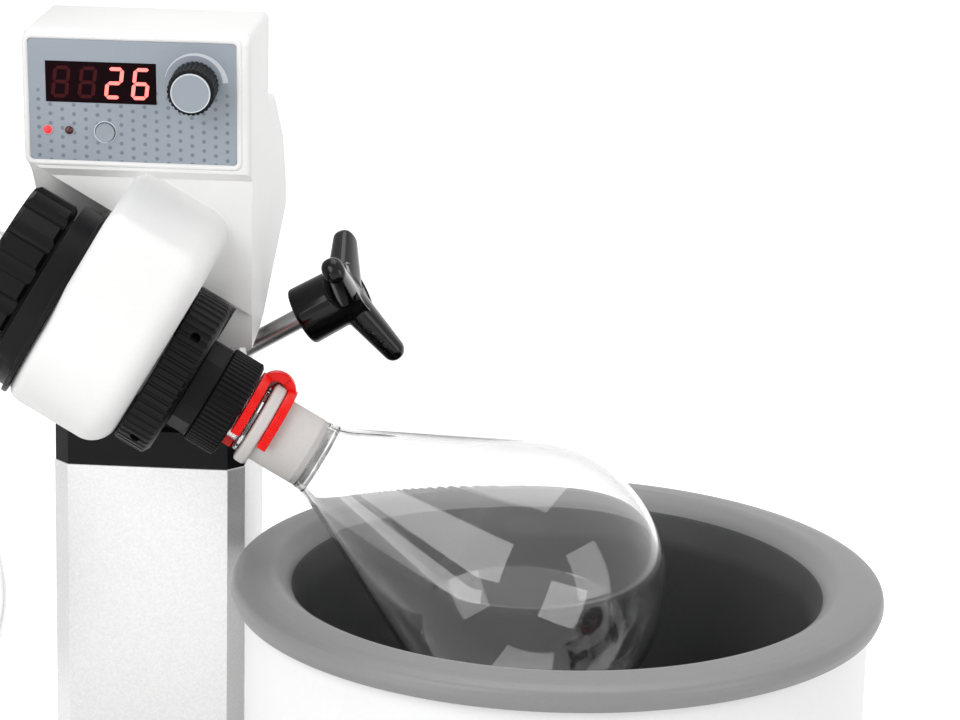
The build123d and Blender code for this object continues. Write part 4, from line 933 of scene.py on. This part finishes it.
@dataclass
class Drive:
    """Slanted rotary drive with its housing, nuts and inner works."""

    nut_teeth: int = 60
    tooth_depth: float = 0.9
    housing_round: float = 13.0
    housing_fall: float = 12.5
    skin: float = 0.6
    proud: float = 0.06

    def housing_outline(self, low: Array, high: Array) -> Array:
        """Open outline of the housing, from its low back edge round the front to the top.

        The bottom is an arc about the drive's axis. A vertical front follows, then the
        rounded crest, tangent to the front and to the slanting top.
        """
        radius, back, top = -low[1], high[1], high[2]
        slant = np.arctan2(self.housing_fall, back + radius)
        crest = top - self.housing_fall - self.housing_round * tan((pi / 2 - slant) / 2)
        bottom = arc((0, 0), radius, -np.degrees(np.arccos(back / radius)), -180, 60)
        bend = arc((self.housing_round - radius, crest), self.housing_round, 180,
                   90 + np.degrees(slant), 18)
        front = np.linspace(bottom[-1], bend[0], 8)[1:-1]
        return np.concatenate([bottom, front, bend, np.linspace(bend[-1], [back, top], 12)[1:]])

    def housing_edge(self) -> None:
        """Makes the smooth skin over the rounded right edge of the housing.

        At angle a of the rounding, a point lies a sine further along and is drawn in by the
        radius less a cosine. The skin runs just outside the wall and back inside it.
        """
        place = axis_of("rotor_spin")
        low, high = place.reach("drive_housing")
        outline = self.housing_outline(low, high)
        ahead = np.gradient(outline, axis=0)
        ahead /= np.linalg.norm(ahead, axis=1, keepdims=True)
        inward = np.stack([ahead[:, 1], -ahead[:, 0]], -1)
        angle = np.linspace(0, pi / 2, 20)
        turn = np.concatenate([angle, angle[::-1]])
        radius = self.housing_round + np.repeat([self.proud, -self.skin], len(angle))
        along = high[0] - self.housing_round + radius * np.sin(turn)
        drawn = self.housing_round - radius * np.cos(turn)
        rings = outline[:, None] + drawn[None, :, None] * inward[:, None]
        Shape().grid(place.at(along[None] + 0 * rings[..., 0], rings[..., 0], rings[..., 1]),
                     (False, True), caps=True).piece(
            "drive_housing_edge", "lift", "white_housing", (Look.HOUSING,), (), 60.0)

    def flask_nut(self) -> None:
        """Makes the knurled nut: radius less a wave round it, that fades at both ends."""
        place = axis_of("rotor_spin")
        low, high = place.reach("flask_nut")
        start, end, radius = low[0], high[0], high[1]
        profile = rounded([(start, radius - 0.8), (start + 0.8, radius), (end - 1.2, radius),
                           (end, radius - 1.6), (end, 18.1), (start, 18.1)], 0.4, 4)
        angle = np.linspace(0, 2 * pi, self.nut_teeth * 6, endpoint=False)[None, :]
        depth = self.tooth_depth * np.clip((profile[:, 1:] - radius + 1.7) / 1.5, 0, 1)
        wave = np.clip(0.5 + 0.75 * np.cos(self.nut_teeth * angle), 0, 1)
        radii = profile[:, 1:] - depth * wave
        points = place.at(profile[:, :1] + 0 * angle, radii * np.sin(angle), radii * np.cos(angle))
        Shape().grid(points, (True, True)).piece(
            "flask_nut_knurled", "flask_release", "black_plastic", (Look.BLACK,), ("flask_nut",),
            40.0)

    def make(self) -> None:
        """Makes the knurled nut and finishes the other parts."""
        refined("drive_housing", Look.HOUSING, 0.0, 50.0)
        self.housing_edge()
        refined("drive_flange", Look.BLACK, 0.5)
        refined("union_nut", Look.BLACK, 0.6)
        refined("locking_ring", Look.BLACK, 0.3)
        refined("clamp_neck", Look.BLACK, 0.4)
        self.flask_nut()
        dress(Look.STEEL, "steel", "rotor_bearings", "hollow_shaft", "motor_shaft")
        dress(Look.ALUMINIUM, "aluminium", "rotor_pulley")
        dress(Look.ZINC, "steel", "flat_motor")
        dress(Look.RUBBER, "rubber", "drive_belt")
        dress(Look.PTFE, "ptfe", "shaft_seal")


@dataclass
class JointClip:
    """Spring clip of the ground joint: two C-shaped jaws and an arch over the bead."""

    tilt_deg: float = 29.0
    half_range_deg: float = 131.0
    arch_half_deg: float = 30.0
    hole_half_deg: float = 13.0
    hole_from_deg: float = 28.0
    hole_to_deg: float = 72.0
    thick: float = 4.4
    gap: tuple[float, float] = (-6.1, 3.2)
    outer: float = 21.4
    arch_base: float = 17.3
    rib_deg: float = 3.1
    rib_depth: float = 0.4
    ribs_from_deg: float = 66.0

    def sweep(self, shape: Shape, section: Array, start: float, end: float,
              ribbed: bool = False) -> None:
        """Carries a closed section round the joint's axis.

        The section shrinks a little at both ends, which rounds them off. Ribs lower its
        outermost points by a raised cosine of the angle.

        Args:
            shape: what the surface is added to.
            section: distances along the axis and radii.
            start: first angle in degrees from the middle of the clip.
            end: last angle in degrees.
            ribbed: whether the outer edge has ribs.
        """
        inside = np.linspace(start, end, max(3, int((end - start) / 0.5)))
        angle = np.concatenate([[start, start], inside, [end, end]])
        shrink = np.concatenate([[0.86, 0.95], np.ones(len(inside)), [0.95, 0.86]])
        soft_deg = np.array([0.25, 0.9])
        angle[1:3] += soft_deg
        angle[-3:-1] -= soft_deg[::-1]
        middle = section.mean(axis=0)
        rings = middle + (section - middle) * shrink[:, None, None]
        if ribbed:
            wave = 0.5 - 0.5 * np.cos(2 * pi * angle / self.rib_deg)
            wave *= np.clip((np.abs(angle) - self.ribs_from_deg) / 2, 0, 1)
            rim = section[:, 1] > section[:, 1].max() - 0.3
            rings[..., 1] -= self.rib_depth * wave[:, None] * rim
        turn = np.radians(angle + self.tilt_deg)[:, None]
        place = axis_of("rotor_spin")
        shape.grid(place.at(rings[..., 0], rings[..., 1] * np.sin(turn),
                            rings[..., 1] * np.cos(turn)), (False, True), caps=True)

    def bow(self, start: float, end: float) -> Array:
        """Section of the arch between two angles: an outer arc and the inner one back."""
        middle = (sum(self.gap) / 2, self.arch_base)
        inner = (self.gap[1] - self.gap[0]) / 2
        steps = max(4, int((end - start) / 6))
        return np.concatenate([arc(middle, inner + self.thick, start, end, steps),
                               arc(middle, inner, end, start, steps)])

    def make(self) -> None:
        """Makes the jaws and the arch, which leaves a hole on its flask side."""
        shape = Shape()
        for low, inner in ((self.gap[1], 17.0), (self.gap[0] - self.thick, 13.2)):
            high = low + self.thick
            jaw = rounded([(low, inner), (high, inner), (high, self.outer), (low, self.outer)],
                          0.5, 4)
            self.sweep(shape, jaw, -self.half_range_deg, self.half_range_deg, True)
        whole = self.arch_half_deg
        self.sweep(shape, self.bow(self.hole_to_deg, 180), -whole, whole)
        self.sweep(shape, self.bow(0, self.hole_from_deg), -whole, whole)
        for side in (-1, 1):
            edges = sorted((side * self.hole_half_deg, side * whole))
            self.sweep(shape, self.bow(self.hole_from_deg, self.hole_to_deg), *edges)
        shape.piece("joint_clip_moulded", "rotor", "red_clip", (Look.CLIP,), ("joint_clip",), 35.0)


@dataclass
class RotatingGlass:
    """Vapour duct with its ground cone, the pear-shaped flask and the joint clip."""

    wall: float = 2.2
    neck: float = 16.75
    bead_radius: float = 20.5
    bead_end: float = 3.0
    ground_rows: int = 36
    shoulder_deg: float = 27.0
    opening_radius: float = 30.0
    joint_length: float = 29.0

    def pear(self, centre: float, ball: float, inset: float) -> Array:
        """Outline from the neck to the tail: an arc, a straight shoulder and the ball.

        Args:
            centre: distance of the ball's centre along the axis.
            ball: outer radius of the ball.
            inset: how far inside the outer surface the outline lies.

        Returns:
            Distances and radii.
        """
        angle = radians(self.shoulder_deg)
        radius, neck = ball - inset, self.neck - inset
        blend = self.opening_radius + inset
        corner = centre - radius / sin(angle) + neck / tan(angle)
        start = corner - blend * tan(angle / 2)
        opening = arc((start, neck + blend), blend, -90, -90 + self.shoulder_deg, 14)
        return np.concatenate([opening, arc((centre, 0), radius, 90 + self.shoulder_deg, 0, 60)])

    def flask(self) -> None:
        """Makes the flask as one closed wall of glass with a ground socket."""
        place = axis_of("rotor_spin")
        low, high = place.reach("evaporating_flask")
        ball = high[1]
        centre = high[0] - ball
        front = self.joint_length
        lip, neck, ring = self.bead_radius, self.neck, self.neck + 0.4
        bead = rounded([(low[0], 14.9), (low[0], lip), (self.bead_end, lip),
                        (self.bead_end, neck), (front - 1.5, neck), (front, ring),
                        (front + 2.5, ring), (front + 4.5, neck)],
                       [0.4, 2.2, 2.2, 1.0, 1.0, 1.2, 1.2, 1.0], 8)
        outside = self.pear(centre, ball, 0)
        inside = self.pear(centre, ball, self.wall)[::-1]
        socket = np.array([[front + 2.0, 14.6], [front + 1.0, 14.2], [front, 13.3],
                           [low[0] + 0.8, 14.75]])
        profile = np.concatenate([bead, outside, inside, socket])
        look = np.zeros(len(profile), int)
        look[:self.ground_rows] = 1
        look[-len(socket):] = 1
        Shape().turned(place, profile, AROUND, True, look).piece(
            "evaporating_flask_blown", "rotor", "clear_glass", (Look.GLASS, Look.GROUND),
            ("evaporating_flask",), 60.0)

    def duct(self) -> None:
        """Makes the vapour duct with its ground cone and its collar."""
        place = axis_of("rotor_spin")
        low, high = place.reach("vapour_duct")
        profile = rounded([(low[0], 10.6), (high[0], 10.6), (high[0], 13.1), (-3.3, 14.6),
                           (-3.3, 16.5), (-5.9, 16.5), (-5.9, 12.8), (low[0], 12.8)],
                          [0.8, 0.8, 0.8, 0.3, 1.0, 1.0, 0.8, 0.8], 5)
        look = np.zeros(len(profile), int)
        look[12:18] = 1
        Shape().turned(place, profile, 96, True, look).piece(
            "vapour_duct_blown", "rotor", "clear_glass", (Look.GLASS, Look.GROUND),
            ("vapour_duct",), 60.0)

    def make(self) -> None:
        """Makes the duct and the flask and finishes the clip."""
        self.duct()
        self.flask()
        JointClip().make()


@dataclass
class Condenser:
    """Vertical condenser with its coil, hose ends, cap and receiving flask."""

    coil_radius: float = 26.0
    tube_radius: float = 4.5
    lead_radius: float = 3.6
    turns: int = 15
    pitch: float = 16.0
    barbs: int = 3
    collar_radius: float = 9.0
    collar_length: float = 10.0
    nozzle_length: float = 22.0
    lead_spacing: float = 34.0

    def coil(self, middle: Array) -> None:
        """Makes the cooling coil.

        The turns are a helix. From its foot the tube swings in to the middle, rises inside
        the turns and leaves at the upper hose end; its head leaves at the lower one.
        """
        low, high = corners("condenser_coil")
        foot = low[2] + self.tube_radius
        out_x = low[0]
        top = foot + self.turns * self.pitch
        spin = np.linspace(0, 2 * pi * self.turns, self.turns * 40)
        helix = np.stack([middle[0] - self.coil_radius * np.cos(spin),
                          middle[1] - self.coil_radius * np.sin(spin),
                          top - self.pitch * spin / (2 * pi)], -1)
        upper = high[2] - self.lead_radius
        lower = upper - self.lead_spacing
        swing = np.linspace(0, 1, 24)[1:, None]
        ease = swing ** 2 * (3 - 2 * swing)
        last = helix[-1]
        angle = pi * swing
        inward = np.concatenate([
            middle[0] - self.coil_radius * (1 - ease) * np.cos(angle),
            middle[1] - self.coil_radius * (1 - ease) * np.sin(angle),
            last[2] - 9.0 * np.sin(pi * swing)], 1)
        rise = np.linspace(0, 1, 30)[1:, None] * [0, 0, upper - 12 - last[2]] + [
            middle[0], middle[1], last[2]]
        bend = arc((middle[0] - 12, upper - 12), 12, 0, 90, 12)[1:]
        turn = np.stack([bend[:, 0], np.full(len(bend), middle[1]), bend[:, 1]], -1)
        away = np.array([[out_x, middle[1], upper]])
        start = np.array([[out_x, middle[1], lower],
                          [middle[0] - self.coil_radius - 5, middle[1], lower]])
        drop = np.array([[middle[0] - self.coil_radius, middle[1], lower - 6]])
        path = np.concatenate([start, drop, helix, inward, rise, turn, away])
        tube(Shape(), path, self.lead_radius, 16).piece(
            "condenser_coil_blown", "lift", "clear_glass", (Look.GLASS,), ("condenser_coil",), 60)

    def stub(self, name: str, place: Place, stands_for: Sequence[str]) -> None:
        """Makes one hose end: a ribbed screw collar and a nozzle with barbs."""
        step = self.nozzle_length / (self.barbs + 1)
        collar, end = self.collar_length, self.collar_length + self.nozzle_length
        corner = [(0.0, 0.0), (0.0, self.collar_radius), (collar, self.collar_radius),
                  (collar, 3.4)]
        for number in range(self.barbs):
            base = collar + step * (number + 0.7)
            corner += [(base, 3.3), (base, 4.0), (base + step * 0.75, 3.3)]
        corner += [(end, 3.2), (end, 2.0), (collar + 1.0, 2.0), (collar + 1.0, 0.0)]
        profile = rounded(corner, [0, 0.8, 0.8] + [0.15] * (len(corner) - 4) + [0], 3)
        look = np.where(np.arange(len(profile) - 1) < 9, 1, 0)
        Shape().turned(place, profile, 48, False, look).piece(
            name, "lift", "brown_stub", (Look.PTFE, Look.BROWN), stands_for)

    def receiver(self, middle: Array) -> None:
        """Makes the round receiving flask with the cup of its ball joint."""
        low, high = corners("receiving_flask")
        place = upright_at(middle[0], middle[1])
        ball = (high[0] - low[0]) / 2
        centre = low[2] + ball
        joint = high[2] - 1.0
        seat = 17.7
        neck_out, neck_in = 14.0, 11.6
        lift_out = np.degrees(np.arcsin(neck_out / ball)) + 2
        outer = arc((centre, 0), ball, 180, lift_out, 60)
        inner = arc((centre, 0), ball - 2.4, lift_out, 180, 60)
        cup_out = rounded([(joint - 34, neck_out), (joint - 17, neck_out), (joint - 5, 22.0),
                           (joint + 1, 22.0), (joint + 1, 17.8)], [6, 5, 2, 0.6, 0.6], 6)
        cup_in = arc((joint, 0), seat, 88, 139, 14)
        profile = np.concatenate([outer, cup_out, cup_in, [[joint - 15, neck_in],
                                                            [joint - 34, neck_in]], inner])
        Shape().turned(place, profile, AROUND, False).piece(
            "receiving_flask_blown", "lift", "clear_glass", (Look.GLASS,), ("receiving_flask",),
            60.0)

    def make(self) -> None:
        """Makes the coil, hose ends and receiver and finishes the rest."""
        low, high = corners("condenser_cap")
        middle = (low + high) / 2
        refined("condenser_jacket", Look.GLASS, 0.0, 50.0)
        self.coil(middle)
        stub_low, stub_high = corners("condenser_stubs")
        wall = stub_high[1] - self.collar_length - self.nozzle_length
        back = np.array([0.0, 1.0, 0.0])
        left, up = np.array([-1.0, 0, 0]), np.array([0, 0, 1.0])
        side = middle[0] - (wall - middle[1])
        high_z, low_z = stub_high[2] - self.collar_radius, stub_low[2] + self.collar_radius
        for name, origin, first, second in (
                ("coolant_in_end", (side, middle[1], low_z), left, up),
                ("coolant_out_end", (side, middle[1], high_z), left, up),
                ("vacuum_end", (middle[0], wall, high_z), back, up)):
            place = Place(np.array(origin), first, second, np.cross(first, second))
            self.stub(name, place, ("condenser_stubs",) if name == "vacuum_end" else ())
        refined("condenser_cap", Look.BLACK, 0.7)
        refined("feed_key", Look.PTFE, 0.6)
        self.receiver(middle)
        refined("ball_clamp", Look.STEEL, 0.5)


@dataclass
class LockHandle:
    """Clamp screw of the lift with its three-arm knob."""

    arm_angles: tuple[float, ...] = (30.0, 150.0, 270.0)
    hub_radius: float = 14.6
    root_at: tuple[float, float] = (-7.6, 5.0)
    tip_at: tuple[float, float] = (-1.2, 35.0)
    root_half: tuple[float, float] = (7.6, 10.5)
    tip_half: tuple[float, float] = (5.4, 6.6)
    arm_rings: int = 24
    squareness: float = 0.8
    cell_mm: float = 0.55

    def arm(self, shape: Shape, place: Place, end: float, turn: float) -> None:
        """Adds one arm: squarish ovals along a leaning line, closed by a half-round tip.

        Half height and half width fall evenly from the root to the tip. Over the tip both
        follow a circle, so the bar ends in a ball. Places and halves are pairs of a distance
        along the screw, from the knob's front face, and one away from it.

        Args:
            shape: what the surface is added to.
            place: the screw's place.
            end: distance of the knob's front face along the screw.
            turn: the arm's angle round the screw in degrees.
        """
        near, far = np.array(self.root_at, float), np.array(self.tip_at, float)
        run = np.linspace(0, 1, self.arm_rings)
        cap = np.radians(np.linspace(8, 88, 11))
        ball = self.tip_half[0] / np.linalg.norm(far - near)
        share = np.concatenate([run, 1 + ball * np.sin(cap)])[:, None]
        swell = np.concatenate([np.ones(self.arm_rings), np.cos(cap)])[:, None]
        line = near + (far - near) * share
        fall = np.clip(share, 0, 1)
        high = (self.root_half[0] + (self.tip_half[0] - self.root_half[0]) * fall) * swell
        wide = (self.root_half[1] + (self.tip_half[1] - self.root_half[1]) * fall) * swell
        angle = np.linspace(0, 2 * pi, 40, endpoint=False)[None, :]
        up = np.sign(np.sin(angle)) * np.abs(np.sin(angle)) ** self.squareness * high
        side = np.sign(np.cos(angle)) * np.abs(np.cos(angle)) ** self.squareness * wide
        lean = (far - near) / np.linalg.norm(far - near)
        along = end + line[:, :1] + up * lean[1]
        out = line[:, 1:] - up * lean[0]
        theta = radians(turn)
        shape.grid(place.at(along, out * cos(theta) - side * sin(theta),
                            out * sin(theta) + side * cos(theta)), (False, True), caps=True)

    def knob(self) -> None:
        """Makes the knob: hub and arms melted into one skin, a crisp rim and its disc."""
        place = axis_of("lock_handle_turn")
        low, high = place.reach("lock_knob")
        start, end = low[0], high[0]
        shape = Shape()
        hub = rounded([(start, 0.0), (start, self.hub_radius), (end - 6, self.hub_radius - 0.6),
                       (end - 0.8, 13.0), (end - 0.8, 0.0)], [0, 1.3, 4, 0.4, 0], 8)
        shape.turned(place, hub, 96, False)
        for turn in self.arm_angles:
            self.arm(shape, place, end, turn)
        made = shape.piece("lock_knob_polished", "lock_handle", "black_plastic",
                           (Look.GLOSSY_BLACK,), ("lock_knob",), 60.0)
        skin = made.modifiers.new("one_skin", "REMESH")
        skin.mode = "VOXEL"
        skin.voxel_size = self.cell_mm * MM
        skin.use_smooth_shade = True
        melt = made.modifiers.new("melt", "SMOOTH")
        melt.factor = 0.5
        melt.iterations = 7
        rim = rounded([(end - 3, 11.9), (end - 3, 13.5), (end, 13.5), (end, 12.3),
                       (end - 1.4, 11.9)], [0, 0, 0.9, 0.4, 0.2], 6)
        Shape().turned(place, rim, 96, True).piece(
            "lock_knob_rim", "lock_handle", "black_plastic", (Look.GLOSSY_BLACK,), ())
        disc = rounded([(end - 2.4, 0.0), (end - 2.4, 11.9), (end - 0.7, 11.9), (end - 1.0, 0.0)],
                       [0, 0.2, 0.5, 0], 6)
        Shape().turned(place, disc, 96, False).piece(
            "lock_knob_disc", "lock_handle", "pale_cap", (Look.CAP,), ("lock_knob_cap",))

    def make(self) -> None:
        """Makes the knob and finishes the screw."""
        self.knob()
        refined("lock_rod", Look.STEEL, 0.3)


# ---- studio -----------------------------------------------------------------------------
@dataclass
class Studio:
    """Pale floor, soft lights and the camera."""

    yaw_deg: float = 2.44
    pitch_deg: float = 15.24
    roll_deg: float = 1.48
    lens_mm: float = 118.1
    sensor_mm: float = 36.0
    near_lift: float = 0.34
    far_lift: float = 0.85
    eye_mm: tuple[float, float, float] = (142.2, -1391.3, 713.6)

    def shown_rays(self, tree: bpy.types.NodeTree) -> bpy.types.NodeSocket:
        """One for rays of the camera, of gloss and of glass, and nought for the others."""
        path = add(tree, "ShaderNodeLightPath")
        first = add(tree, "ShaderNodeMath", {"operation": "MAXIMUM"}, {
            0: path.outputs["Is Camera Ray"], 1: path.outputs["Is Glossy Ray"]})
        return add(tree, "ShaderNodeMath", {"operation": "MAXIMUM"}, {
            0: first.outputs[0], 1: path.outputs["Is Transmission Ray"]}).outputs[0]

    def floor(self) -> None:
        """Lays the floor: matt pale, lifted to white for the rays that see it."""
        half = 12.0
        mesh = bpy.data.meshes.new("studio_floor")
        mesh.from_pydata([(-half, -half, -0.0005), (half, -half, -0.0005), (half, half, -0.0005),
                          (-half, half, -0.0005)], [], [(0, 1, 2, 3)])
        ground = bpy.data.objects.new("studio_floor", mesh)
        bpy.context.scene.collection.objects.link(ground)
        paint = bpy.data.materials.new("pale_floor")
        paint.use_nodes = True
        tree = paint.node_tree
        tree.nodes.clear()
        matt = add(tree, "ShaderNodeBsdfDiffuse", inputs={"Color": linear("#F4F4F4")})
        where = add(tree, "ShaderNodeTexCoord")
        away = add(tree, "ShaderNodeVectorMath", {"operation": "LENGTH"}, {
            0: where.outputs["Object"]})
        rise = add(tree, "ShaderNodeMapRange", inputs={
            "Value": away.outputs["Value"], "From Min": 0.4, "From Max": 2.6,
            "To Min": self.near_lift, "To Max": self.far_lift})
        amount = add(tree, "ShaderNodeMath", {"operation": "MULTIPLY"}, {
            0: self.shown_rays(tree), 1: rise.outputs["Result"]})
        lift = add(tree, "ShaderNodeEmission", inputs={
            "Color": (1, 1, 1, 1), "Strength": amount.outputs[0]})
        both = add(tree, "ShaderNodeAddShader", inputs={0: matt.outputs[0], 1: lift.outputs[0]})
        add(tree, "ShaderNodeOutputMaterial", inputs={"Surface": both.outputs[0]})
        mesh.materials.append(paint)

    def sky(self) -> None:
        """Sets the world: white where it is seen, dimmer where it only lights."""
        world = bpy.data.worlds.new("studio")
        bpy.context.scene.world = world
        world.use_nodes = True
        tree = world.node_tree
        tree.nodes.clear()
        strength = add(tree, "ShaderNodeMapRange", inputs={
            "Value": self.shown_rays(tree), "To Min": 0.5, "To Max": 1.0})
        back = add(tree, "ShaderNodeBackground", inputs={
            "Color": (1, 1, 1, 1), "Strength": strength.outputs[0]})
        add(tree, "ShaderNodeOutputWorld", inputs={"Surface": back.outputs[0]})

    def lamp(self, name: str, at: tuple[float, float, float], towards: tuple[float, float, float],
             size: tuple[float, float], power: float) -> None:
        """Hangs one rectangular soft light and turns it to a point."""
        light = bpy.data.lights.new(name, "AREA")
        light.shape = "RECTANGLE"
        light.size, light.size_y = size
        light.energy = power
        made = bpy.data.objects.new(name, light)
        made.location = at
        made.rotation_euler = (Vector(towards) - Vector(at)).to_track_quat("-Z", "Y").to_euler()
        bpy.context.scene.collection.objects.link(made)

    def camera(self) -> None:
        """Sets the camera: turned, tipped down and rolled a little."""
        lens = bpy.data.cameras.new("view")
        lens.lens, lens.sensor_width = self.lens_mm, self.sensor_mm
        made = bpy.data.objects.new("view", lens)
        made.matrix_world = (
            Matrix.Translation(Vector(self.eye_mm) * MM)
            @ Matrix.Rotation(radians(self.yaw_deg), 4, "Z")
            @ Matrix.Rotation(radians(90 - self.pitch_deg), 4, "X")
            @ Matrix.Rotation(radians(self.roll_deg), 4, "Z"))
        bpy.context.scene.collection.objects.link(made)
        bpy.context.scene.camera = made

    def make(self) -> None:
        """Makes the floor, the world, the lights and the camera."""
        self.floor()
        self.sky()
        middle = (0.0, 0.0, 0.32)
        self.lamp("key", (-1.3, -1.7, 1.7), middle, (1.7, 1.6), 27)
        self.lamp("fill", (1.9, -1.1, 1.0), middle, (1.2, 1.5), 12)
        self.lamp("kicker", (-1.5, -1.5, 0.15), middle, (1.0, 0.8), 7)
        self.lamp("top", (0.1, 0.4, 2.2), middle, (1.4, 1.4), 14)
        self.camera()
        bpy.context.scene.view_settings.view_transform = "Standard"


def main() -> None:
    """Builds the sub-assemblies in order, notes each one as it is made, and sets up the studio."""
    logging.basicConfig(level=logging.INFO, format="%(name)s: %(message)s")
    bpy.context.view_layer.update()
    for assembly in (Base(), Column(), Bath(), Head(), Drive(), RotatingGlass(), Condenser(),
                     LockHandle()):
        assembly.make()
        log.info("made the %s", type(assembly).__name__)
    Studio().make()


if __name__ == "__main__":
    main()
